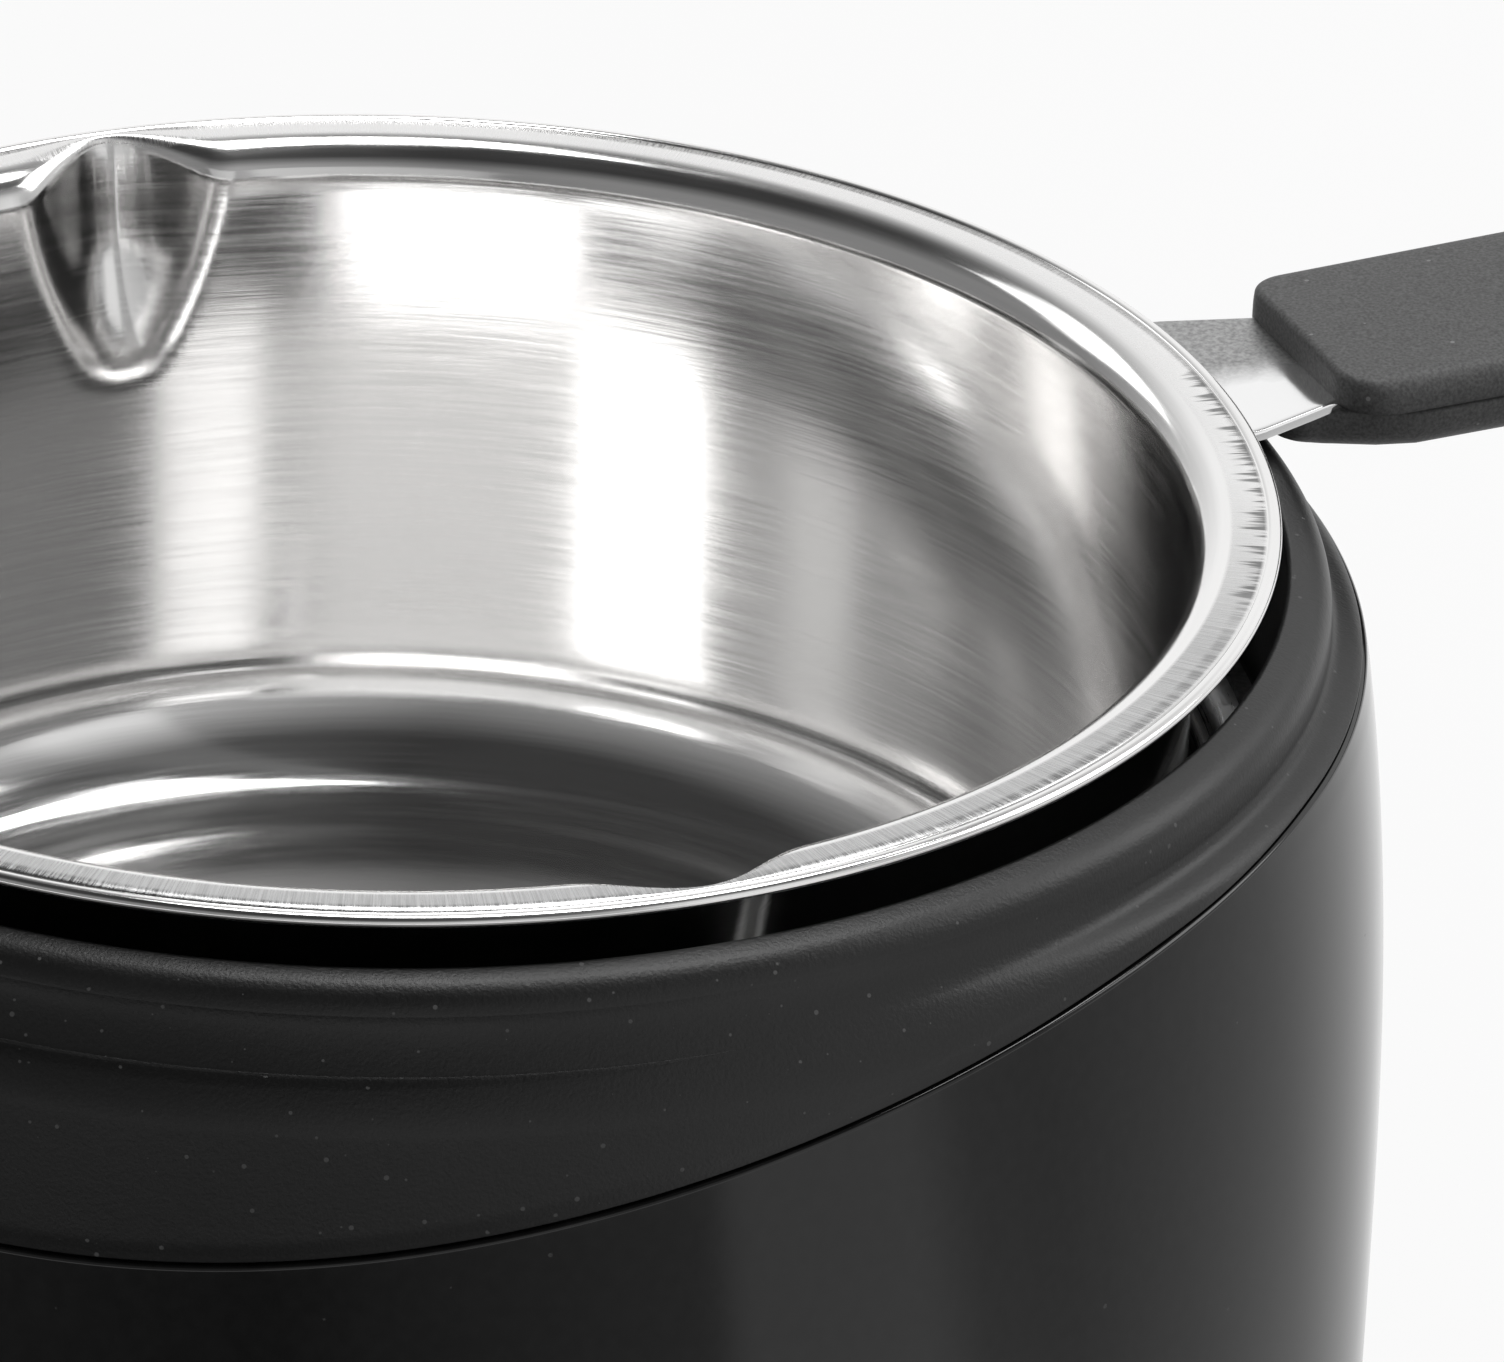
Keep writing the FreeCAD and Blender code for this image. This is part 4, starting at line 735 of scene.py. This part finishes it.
def ring_rows(border, recess, inset, radius, floor, rounding):
    """Rings from a window's border in to a recess's circle and floor, on one side of the wall."""
    side, height = recess["side"], recess["height"]
    x, z = border[:, 0], border[:, 2] - height
    angle = np.arctan2(z, x)
    t = np.linspace(0, 1, 9)[:, None]
    ring_x = x * (1 - t) + (radius + rounding) * np.cos(angle) * t
    ring_z = z * (1 - t) + (radius + rounding) * np.sin(angle) * t
    on_barrel = np.stack([ring_x, barrel_y(ring_x, ring_z + height, side, inset), ring_z + height], -1)
    on_barrel[0] = border
    phi = np.linspace(0, math.pi / 2, 5)[1:, None]
    arc_r = radius + rounding * (1 - np.sin(phi))
    arc_x, arc_z = arc_r * np.cos(angle), arc_r * np.sin(angle)
    arc_y = barrel_y(arc_x, arc_z + height, side, inset) - side * rounding * (1 - np.cos(phi))
    arc = np.stack([arc_x, arc_y, arc_z + height], -1)
    down = np.linspace(0, 1, 4)[1:, None]
    wall_y = arc_y[-1] * (1 - down) + side * floor * down
    wall = np.stack([arc_x[-1] + 0 * down, wall_y, arc_z[-1] + height + 0 * down], -1)
    inwards = np.linspace(0, 1, 8)[1:, None]
    flat_r = radius * (1 - inwards) + recess["hole"] * inwards
    flat = np.stack([flat_r * np.cos(angle), side * floor + 0 * flat_r * angle,
                     flat_r * np.sin(angle) + height], -1)
    return np.concatenate([on_barrel, arc, wall, flat])


# %% Rows of the lower body
upper_depth = 38.0
lower_depth = foot_depth - edge_round
stops = [upper_depth, lower_depth]
for recess in recesses:
    middle_depth = rim_height - recess["height"]
    stops += [middle_depth - recess["half"], middle_depth + recess["half"]]
stops = np.array(sorted(stops))
barrel_rows = evened(np.stack([stops, 0 * stops], -1), 1.3)[:, 0]
upper_share = np.linspace(0, 1, 22)[:-1, None]
top_edge = lip + parting_gap + body_lip
swept_rows = top_edge + (upper_depth - top_edge) * upper_share
depth_rows = np.concatenate([swept_rows, barrel_rows[:, None] + 0 * turns])
outer_wall = revolved(outside(depth_rows, filled), depth_rows, turns)
bend = np.linspace(0, math.pi / 2, 8)[1:, None]
foot_rows = revolved(float(barrel(np.array(lower_depth))) - edge_round * (1 - np.cos(bend)) + 0 * turns,
                     lower_depth + edge_round * np.sin(bend) + 0 * turns, turns)
inner_wall = revolved(outside(depth_rows[::-1], filled) - body_wall, depth_rows[::-1], turns)
ledge_depth = foot_depth + 0 * turns
ledge = revolved(outside(ledge_depth)[None] - body_wall - 0.3, ledge_depth[None], turns)
bend = np.linspace(math.pi / 2, 0, 6)[:-1, None]
top_rows = revolved(outside(top_edge + 0 * bend, filled) - body_lip * (1 - np.cos(bend)),
                    top_edge - body_lip * np.sin(bend), turns)
top_inner = revolved(outside(top_edge, filled)[None] - body_wall, (top_edge - body_lip)[None], turns)
body_grid = np.concatenate([outer_wall, foot_rows, ledge, inner_wall, top_inner, top_rows])
print("lower body:", len(body_grid), "rows of", columns)

# %% Windows, patches and the lower body
outer_count = len(depth_rows)
inner_start = outer_count + len(foot_rows) + 1
windows, patches = [], []
for recess in recesses:
    middle = columns * 3 // 4 if recess["side"] < 0 else columns // 4
    half_columns = round(math.asin(recess["half"] / belly_radius) / (2 * math.pi / columns))
    first, last = middle - half_columns, middle + half_columns
    depths = depth_rows[:, middle]
    middle_depth = rim_height - recess["height"]
    top = int(np.argmin(abs(depths - (middle_depth - recess["half"]))))
    bottom = int(np.argmin(abs(depths - (middle_depth + recess["half"]))))
    mirror = inner_start + outer_count - 1
    windows += [(top, bottom, first, last), (mirror - bottom, mirror - top, first, last)]
    rows = np.r_[np.full(last - first, top), np.arange(top, bottom), np.full(last - first, bottom),
                 np.arange(bottom, top, -1)]
    cols = np.r_[np.arange(first, last), np.full(bottom - top, last), np.arange(last, first, -1),
                 np.full(bottom - top, first)]
    outer = ring_rows(body_grid[rows, cols], recess, 0.0, recess["radius"], recess["floor"], recess_edge)
    inner = ring_rows(body_grid[mirror - rows, cols], recess, body_wall, recess["radius"] + body_wall,
                      recess["floor"] - body_wall, inner_edge)
    rings = np.concatenate([outer, inner[::-1]])
    patches.append((rings, skin(rings.shape)))
piece("lower_body_shell",
      [(body_grid, skin(body_grid.shape, round_rows=True, openings=windows))] + patches,
      "base", "body_black", body_black, "lower_body")

# %% [markdown]
# ## The pot
# The pot is one pressed sheet, so its surface runs from the middle of the floor inside, up the
# wall, over the rolled flange and its beaded edge, and back down outside. At the two spouts the
# wall is pushed outwards. The push is a smooth bump round the rim, and it fades with depth.

# %% Sizes and outlines of the pot
wall_radius = rim_radius - 6.6
floor_radius = wall_radius - 1.0
pot_depth = 56.0
pot_corner = 12.0
sheet = 0.8
roll = 3.2
bead = 0.6
bead_depth = 1.0
spout_turns = (handle_turn - math.pi / 2, handle_turn + math.pi / 2)
spout_push = 4.75
spout_half = 10.0
spout_depth = 19.5
sink_depth = 9.0
sink_share = 0.78
flat_sink = 0.12

pot_columns = 560
pot_turns = np.arange(pot_columns) * 2 * math.pi / pot_columns
bead_arc = np.linspace(math.radians(-150), math.radians(120), 17)
bead_points = np.stack([rim_radius - bead + bead * np.cos(bead_arc),
                        bead_depth / 2 * (1 + np.sin(bead_arc))], -1)
flat_edge = rim_radius - 2 * bead + 0.02
inside_path = evened(rounded([(0, pot_depth, 0), (floor_radius, pot_depth, pot_corner),
                              (wall_radius, flat_sink, roll), (flat_edge, flat_sink, 0)], steps=16), 1.4)
outside_path = evened(rounded([(flat_edge + 0.02, sheet, 0), (wall_radius + sheet, sheet, roll - sheet),
                               (floor_radius + sheet, pot_depth + sheet, pot_corner + sheet),
                               (0, pot_depth + sheet, 0)], steps=12), 2.0)


# %% The push of the spouts
def spout_bump(narrowing):
    """Height of the push round the rim: cos^2 of the way from a spout's middle to its edge."""
    total = np.zeros_like(pot_turns)
    for spout in spout_turns:
        away = abs((pot_turns - spout + math.pi) % (2 * math.pi) - math.pi) * rim_radius
        total += np.cos(np.clip(away / (spout_half * narrowing), 0, 1) * math.pi / 2) ** 2
    return total


def pushed(path, start_radius, limit):
    """The pot's outline with its spouts.

    Above the roll's foot the stretch from start_radius to the flange's edge is squeezed outwards
    by the push and flattened. Below, the push fades to the spout's foot, half as a straight line
    and half as a cosine, and the bump grows narrower on the way."""
    radii, depths = path[:, :1], path[:, 1:]
    way = np.clip((depths - roll) / (spout_depth - roll), 0, 1)
    fade = 0.55 * (1 - way) + 0.225 * (1 + np.cos(math.pi * way))
    width = 0.55 + 0.45 * fade
    bumps = np.concatenate([spout_bump(w)[None] for w in width[:, 0]])
    push = np.minimum(spout_push, limit) * bumps
    room = flat_edge - start_radius
    squeezed = flat_edge - (flat_edge - radii) * (room - push) / room
    moved = np.where((depths <= roll) & (radii >= start_radius - 0.01), squeezed, radii + push * fade)
    flattened = np.clip((sink_depth - depths) / (sink_depth - roll), 0, 1)
    return revolved(moved, depths * (1 - sink_share * bumps * flattened), pot_turns)


# %% Model the pot
pot_inside = pushed(inside_path, wall_radius, spout_push)
outside_push = flat_edge - wall_radius - sheet - 0.15
pot_outside = pushed(outside_path, wall_radius + sheet, outside_push)
bead_rows = revolved(bead_points[:, :1] + 0 * pot_turns, bead_points[:, 1:] + 0 * pot_turns, pot_turns)
pot_grid = np.concatenate([pot_inside, bead_rows, pot_outside])
piece("pot_shell", [(pot_grid, skin(pot_grid.shape))], "pot_set", "pot_steel", pot_steel, "pot")

# %% [markdown]
# ## The handle's frame
# Tang and grip are modelled lying along X, with the flange's edge at x = 0 and the tang's middle
# plane at z = 0. One function then tilts them up a little and turns them to their place.

# %% From the handle's frame to the pot
tang_sheet = 1.15
tang_gap = 0.05
tang_depth = bead_depth + tang_gap + tang_sheet / 2
handle_tilt = math.radians(2.4)


def on_pot(points):
    """Leans the points up beyond the flange's edge, then turns them round the pot's axis."""
    x, y, z = points[..., 0], points[..., 1], points[..., 2]
    rise = z + np.clip(x, 0, None) * math.tan(handle_tilt) + level(tang_depth)
    out = x + rim_radius
    return np.stack([out * math.cos(handle_turn) - y * math.sin(handle_turn),
                     out * math.sin(handle_turn) + y * math.cos(handle_turn), rise], -1)


# %% [markdown]
# ## The tang
# The tang is a strip of sheet steel that is welded to the wall, bends out under the flange and
# runs into the grip. A rounded rectangle is carried along that path. Its width changes on the
# way, it is dished a little, and against the wall it bends to the pot's own radius.

# %% Path of the tang
root_half = 10.4
neck_half = 7.9
grip_start = 7.8
bend_radius = 1.775
bend_x = -3.4
tab_height = 10.4
tab_end = np.array([0.25, 0.9, 2.0])
dish_depth = 0.22
square = 0.16

straight = np.linspace(grip_start + 12, bend_x, 40)
arc_angle = np.linspace(0, math.pi / 2, 10)[1:]
tab = np.linspace(0, 1, 10)[1:]
path_x = np.r_[straight, bend_x - bend_radius * np.sin(arc_angle), np.full(len(tab), bend_x - bend_radius)]
path_z = np.r_[0 * straight, -bend_radius * (1 - np.cos(arc_angle)),
               -bend_radius - (tab_height - bend_radius) * tab]
normal = np.r_[0 * straight, arc_angle, np.full(len(tab), math.pi / 2)]
half_width = np.interp(path_x, [-0.5, 0.8, grip_start, grip_start + 12],
                       [root_half, root_half - 0.25, neck_half, neck_half - 0.3])
half_width[len(straight):] = root_half
half_width[-len(tab_end):] -= tab_end
print("tang path of", len(path_x), "steps, widths", half_width.min(), "to", half_width.max(), "mm")

# %% Model the tang
rim_angle = np.linspace(0, 2 * math.pi, 64, endpoint=False)
across = np.sign(np.cos(rim_angle)) * abs(np.cos(rim_angle)) ** square
thick = np.sign(np.sin(rim_angle)) * abs(np.sin(rim_angle)) ** square
y = half_width[:, None] * across
dish = dish_depth * (across ** 2 - 1) * smoothstep((path_x + 4) / 5)[:, None]
offset = thick * tang_sheet / 2 + dish
x = path_x[:, None] + offset * -np.sin(normal)[:, None]
z = path_z[:, None] + offset * np.cos(normal)[:, None]
wall_bend = smoothstep((-path_x - 1.0) / 3.0)[:, None]
x = x - wall_bend * (rim_radius - np.sqrt(np.maximum(rim_radius ** 2 - y ** 2, 0)))
tang_rows = np.stack([x, y, z], -1)
near_end, far_end = [end.mean(1, keepdims=True) + 0 * end for end in (tang_rows[:1], tang_rows[-1:])]
tang_grid = on_pot(np.concatenate([near_end, tang_rows, far_end]))
piece("tang_strip", [(tang_grid, skin(tang_grid.shape))], "pot_set", "tang_steel", tang_steel,
      "handle_tang")

# %% [markdown]
# ## The grip
# The grip is two moulded halves, a flat cap above the tang and a deeper half below it. Each is a
# stack of rounded plans, one for every level between the seam and the far face. The way a plan
# shrinks from level to level makes the edges: a tight one at the cap's near face and softer ones
# along the sides. The lower half reaches further in under the tang and starts with a round nose,
# which is narrower than the cap and lies a little lower where the tang passes over it.

# %% Sizes and plans of the grip
grip_length = 112.0
near_half = 11.2
far_half = 12.9
corner_round = 4.2
cap_height = 2.55
cap_crown = 0.4
cap_side = 1.9
cap_face = 0.5
keel_start = 2.4
keel_height = 4.0
keel_side = 3.1
keel_nose = 5.0
keel_ledge = 0.5
ledge_stop = 5.4
ledge_fade = 2.2
pinch = 0.30
pinch_stop = 6.0
pinch_fade = 8.0
seam_half_gap = 0.13


def plan(near, far, half_near, half_far, corner, sides=34):
    """Closed plan of the grip: a straight taper with round corners and a nearly round far end."""
    path = rounded([(near, 0, 0), (near, half_near, corner), (far, half_far, half_far * 0.9),
                    (far, 0, 0)], 11)
    first, second = path[1:13], path[13:25]
    parts = [np.linspace(path[0], first[0], 7)[:-1], first[:-1],
             np.linspace(first[-1], second[0], sides)[:-1], second[:-1],
             np.linspace(second[-1], path[-1], 4)]
    upper_side = np.concatenate(parts)
    return np.concatenate([upper_side, upper_side[-2:0:-1] * [1, -1]])


def edge_inset(height, radius, at):
    """How far a quarter-round edge of that radius has moved in at a level."""
    rise = np.clip(at - (height - radius), 0, radius)
    return radius - math.sqrt(radius ** 2 - rise ** 2)


# %% One half of the grip
def grip_half(first, height, crown, side, face, nose, trim, sign):
    """Closed half of the grip, from its seam to its top or keel, already set on the pot.

    first is where it starts, side and face are the rounding radii of its edges, and trim makes
    its plan smaller all round. A nose above 0 gives the near end a round nose of that length."""
    near, far = first + trim, grip_start + grip_length - trim
    start, stop = near_half - trim, far_half - trim
    loops = []
    for turn_angle in np.linspace(0, math.pi / 2, 14):
        at = height * math.sin(turn_angle)
        inset = edge_inset(height, side, at)
        ahead = edge_inset(height, face, at) if face else nose * (1 - math.cos(turn_angle))
        corner = max(corner_round - inset, 1.4)
        loops.append((plan(near + ahead, far - inset, start - inset, stop - inset, corner), at))
    rows = [np.concatenate([flat, 0 * flat[:, :1] + at], 1) for flat, at in loops]
    spine = np.stack([np.clip(rows[-1][:, 0], near + 9.0, far - 12.0), 0 * rows[-1][:, 0],
                      rows[-1][:, 2]], -1)
    rows += [rows[-1] + (spine - rows[-1]) * t for t in np.linspace(0, 1, 8)[1:]]
    base_spine = spine * [1, 1, 0]
    rows = [rows[0] + (base_spine - rows[0]) * t for t in (1.0, 0.5)] + rows
    grid = np.stack(rows)
    if nose:
        grid[..., 1] *= 1 - pinch * (1 - smoothstep((grid[..., 0] - pinch_stop) / pinch_fade))
    width = start + (stop - start) * (grid[..., 0] - near) / (far - near)
    arch = crown * (1 - np.clip(abs(grid[..., 1]) / width, 0, 1) ** 2) * (grid[..., 2] / height)
    under_tang = keel_ledge * (1 - smoothstep((grid[..., 0] - ledge_stop) / ledge_fade))
    under_tang = under_tang * (1 - grid[..., 2] / height)
    grid[..., 2] = sign * (grid[..., 2] + arch + seam_half_gap + under_tang)
    return on_pot(grid)


# %% Model the two halves
cap = grip_half(grip_start, cap_height, cap_crown, cap_side, cap_face, 0.0, 0.0, 1)
piece("grip_cap", [(cap, skin(cap.shape))], "pot_set", "grip_black", grip_black, "handle_upper_shell")
keel = grip_half(keel_start, keel_height - seam_half_gap, 0.0, keel_side, 0.0, keel_nose, 0.25, -1)
piece("grip_keel", [(keel, skin(keel.shape))], "pot_set", "grip_black", grip_black, "handle_lower_shell")

# %% [markdown]
# ## The knob
# The knob is a turned outline, from the middle of its dished face over the edge, down the side
# and out over the skirt. Twenty shallow flutes are pressed into the side: at each one the radius
# falls by the depth of a circle that bites into it.

# %% Model the knob
knob_back = reach("control_knob", 1)
knob_rise = knob_back - reach("control_knob", 1, 0)
knob_face = 16.3
knob_skirt = 18.5
flutes = 20
flute_bite = 0.6
flute_half = 1.5
face_dish = 0.75
knob_columns = 24 * flutes

knob_path = evened(rounded([
    (0, knob_rise - face_dish, 0), (knob_face - 3.0, knob_rise - face_dish, 1.2),
    (knob_face, knob_rise, 1.3),
    (knob_face + 0.6, 3.9, 0.7), (knob_skirt - 0.4, 3.0, 0.8), (knob_skirt, 0.0, 0.4),
    (knob_skirt - 2.0, 0.0, 0.3), (knob_skirt - 2.0, 2.0, 0), (0, 2.0, 0)], steps=7), 0.7)
knob_turns = np.arange(knob_columns) * 2 * math.pi / knob_columns
radii, rises = knob_path[:, :1], knob_path[:, 1:]
pitch = 2 * math.pi / flutes
beside = ((knob_turns / pitch) % 1 - 0.5) * pitch * radii
scallop = np.sqrt(np.clip(1 - (beside / flute_half) ** 2, 0, 1)) ** 1.4
upright = smoothstep((rises - 4.1) / 1.0) * smoothstep((radii - knob_face + 1.6) / 1.2)
upright = upright * (radii > knob_face - 1.6)
fluted = radii - flute_bite * scallop * upright
knob_grid = np.stack([fluted * np.cos(knob_turns), knob_back - rises + 0 * fluted,
                      knob_height + fluted * np.sin(knob_turns)], -1)
piece("knob_shell", [(knob_grid, skin(knob_grid.shape))], "knob_set", "knob_black", knob_black,
      "control_knob")

# %% [markdown]
# ## The print round the knob
# The numbers and ticks are screen printed on the barrel. Flat outlines are laid round the knob
# and then moved back onto the barrel, a few hundredths of a millimetre proud.

# %% Ticks and numbers on the barrel
dial_radius = 26.5
tick_start = 21.4
print_rise = 0.05
dial_span = math.radians(120.0)


def printed(points):
    """Puts flat points (x, height) on the barrel, at y = -sqrt(radius^2 - x^2)."""
    x, z = points[:, 0], points[:, 1]
    return np.stack([x, -np.sqrt((barrel(rim_height - z) + print_rise) ** 2 - x ** 2), z], -1)


def tick(angle, length, width, steps=4):
    """A radial stroke beside the knob, as a grid of points; angle 0 is upright."""
    along = np.linspace(tick_start, tick_start + length, steps)[:, None]
    across = np.array([-width / 2, width / 2])[None]
    x = along * math.sin(angle) + across * math.cos(angle)
    z = along * math.cos(angle) - across * math.sin(angle)
    grid = printed(np.stack([x.ravel(), knob_height + z.ravel()], -1))
    return grid, skin((steps, 2), round_columns=False)[:, ::-1]


def numeral(text, angle, size):
    """A number as a flat mesh from Blender's own font, moved onto the barrel."""
    curve = bpy.data.curves.new("numeral_" + text, "FONT")
    curve.body, curve.size, curve.align_x, curve.align_y = text, size, "CENTER", "CENTER"
    holder = bpy.data.objects.new("numeral_" + text, curve)
    mesh = holder.to_mesh()
    flat = np.zeros(len(mesh.vertices) * 3)
    mesh.vertices.foreach_get("co", flat)
    middle = [dial_radius * math.sin(angle), knob_height + dial_radius * math.cos(angle)]
    flat = flat.reshape(-1, 3)[:, :2] + middle
    faces = [list(p.vertices) for p in mesh.polygons]
    holder.to_mesh_clear()
    bpy.data.objects.remove(holder)
    return printed(flat), faces


# %% Model the print
long_tick, short_tick = (2.4, 0.5), (1.3, 0.3)
marks = [tick(dial_span * (i / 12 - 0.5), *(long_tick if i % 6 == 0 else short_tick)) for i in range(13)]
marks += [numeral(str(i), dial_span / 2 * (i - 1), 5.2) for i in range(3)]
points, faces = [], []
for grid, quads in marks:
    faces += [[int(i) + len(points) for i in quad] for quad in quads]
    points += (grid * MM).tolist()
mesh = bpy.data.meshes.new("dial_print")
mesh.from_pydata(points, [], faces)
mesh.materials.append(dial_white)
dial_print = placed("dial_print", mesh)
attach(dial_print, "base")
print("dial print:", len(mesh.polygons), "faces")

# %% [markdown]
# ## The floor and the light
# A pale floor and a white surround give the plain studio look. The surround is white for the
# camera. For reflections it has the studio's tones: white behind, greys at the sides, dark in
# front and dim overhead, so that polished steel has something to mirror. The strongest light
# comes over the pot from a little behind, and draws the crest of the collar as a line in front
# and as a broad sheen on the right. The glossy barrel mirrors the floor round it. A card with
# the same tones lies there for reflections only, and gives the barrel its soft upright panel.

# %% Group: tones of the studio
studio_tones = [(-180, 0.12), (-100, 0.14), (-78, 0.10), (-63, 0.20), (-42, 0.33), (-35.5, 0.37),
                (-32.0, 0.78), (-14, 0.80), (-7, 0.50), (2, 0.42), (14, 0.48), (38, 0.58), (56, 0.80),
                (70, 1.0), (125, 1.0), (160, 0.3), (180, 0.12)]
tones, ends, out = group("studio tones", {"Turn": 0.0}, ["Tone"])
ramp = tones.nodes.new("ShaderNodeValToRGB")
feed(tones, ramp.inputs[0], spread(tones, ends.outputs["Turn"], -math.pi, math.pi))
while len(ramp.color_ramp.elements) < len(studio_tones):
    ramp.color_ramp.elements.new(0.5)
for stop, (angle, tone) in zip(ramp.color_ramp.elements, studio_tones):
    stop.position = (angle + 180) / 360
    stop.color = grey(tone)
feed(tones, out.inputs["Tone"], ramp.outputs[0])
print("studio with", len(studio_tones), "tones")

# %% Floor
floor_white = 0.86
floor_bounce = 0.34
floor_mesh = bpy.data.meshes.new("floor")
size = 3.0
floor_mesh.from_pydata([(-size, -size, 0), (size, -size, 0), (size, size, 0), (-size, size, 0)], [],
                       [(0, 1, 2, 3)])
floor = placed("floor", floor_mesh)
pale, tree, principled = shader("pale_floor", Roughness=0.9, Specular_IOR_Level=0.1)
path = add(tree, "LightPath")
bounce = tint(tree, path.outputs["Is Diffuse Ray"], grey(floor_white), grey(floor_bounce))
feed(tree, principled.inputs["Base Color"], bounce)
glow = add(tree, "Emission", {"Color": grey(1.0), "Strength": 1.0})
seen = calc(tree, "MAXIMUM", path.outputs["Is Camera Ray"], path.outputs["Is Glossy Ray"])
seen = calc(tree, "MAXIMUM", seen, path.outputs["Is Transmission Ray"])
blend = add(tree, "MixShader", {0: calc(tree, "MULTIPLY", seen, floor_white), 1: principled.outputs[0],
                                2: glow.outputs[0]})
tree.links.new(blend.outputs[0], tree.nodes["Material Output"].inputs["Surface"])
floor_mesh.materials.append(pale)

# %% Surround
soft_light = 0.38
world = bpy.data.worlds.new("surround")
bpy.context.scene.world = world
world.use_nodes = True
tree = world.node_tree
background = tree.nodes["Background"]
path = add(tree, "LightPath")
mirrored = calc(tree, "MAXIMUM", path.outputs["Is Glossy Ray"], path.outputs["Is Transmission Ray"])
direction = add(tree, "SeparateXYZ", {0: add(tree, "TexCoord").outputs["Generated"]})
azimuth = calc(tree, "ARCTAN2", direction.outputs[1], direction.outputs[0])
sides = spread(tree, use(tree, tones, Turn=azimuth)["Tone"], 0.0, 1.0, 0.12, 1.0)
ceiling = spread(tree, direction.outputs[2], 0.50, 0.82, 1.0, 0.18)
for_mirrors = calc(tree, "MULTIPLY", mirrored, calc(tree, "MULTIPLY", ceiling, sides))
strength = calc(tree, "MAXIMUM", path.outputs["Is Camera Ray"], for_mirrors)
soft = calc(tree, "MULTIPLY", calc(tree, "MULTIPLY", path.outputs["Is Diffuse Ray"], ceiling), soft_light)
strength = calc(tree, "MAXIMUM", strength, soft)
feed(tree, background.inputs["Color"], grey(1.0))
feed(tree, background.inputs["Strength"], strength)

# %% The card on the floor
card_turns = np.radians(np.linspace(-180, 180, 181))
ring = np.array([86.0, 300.0, 520.0])[:, None]
grid = np.stack([ring * np.cos(card_turns), ring * np.sin(card_turns), 0 * ring * card_turns + 0.4], -1)
card_mesh = bpy.data.meshes.new("tone_card")
card_mesh.from_pydata((grid.reshape(-1, 3) * MM).tolist(), [],
                      skin(grid.shape, round_columns=False)[:, ::-1].tolist())
card = placed("tone_card", card_mesh)
card.visible_camera = card.visible_diffuse = card.visible_shadow = False
card.visible_transmission = card.visible_volume_scatter = False

toned_card, tree, principled = shader("tone_card", Roughness=1.0, Specular_IOR_Level=0.0,
                                      Emission_Strength=1.0)
principled.inputs["Base Color"].default_value = grey(0.0)
turn_of_card = use(tree, streaks)["Turn"]
tone = use(tree, tones, Turn=turn_of_card)["Tone"]
feed(tree, principled.inputs["Emission Color"], tint(tree, tone, grey(0.0), grey(1.0)))
card_mesh.materials.append(toned_card)
print("card from", ring[0, 0], "to", ring[-1, 0], "mm round the axis")


# %% Lamps
def softbox(name, place, width, height, power):
    """A large area lamp at a place in metres, aimed at the middle of the object."""
    lamp = bpy.data.lights.new(name, "AREA")
    lamp.shape = "RECTANGLE"
    lamp.size, lamp.size_y, lamp.energy = width, height, power
    holder = placed(name, lamp)
    holder.location = place
    aim = Vector((0, 0, 0.08)) - Vector(place)
    holder.rotation_euler = aim.to_track_quat("-Z", "Y").to_euler()
    print(name, power, "W")


softbox("key_softbox", (0.95, 0.65, 0.95), 0.8, 0.8, 6.0)
softbox("overhead", (0.05, 0.45, 1.40), 0.8, 0.5, 8.5)
softbox("left_softbox", (-1.2, 0.35, 0.9), 0.7, 0.7, 2.0)
softbox("front_fill", (0.55, -1.2, 0.40), 0.8, 0.6, 0.4)
bpy.context.scene.view_settings.view_transform = "Standard"
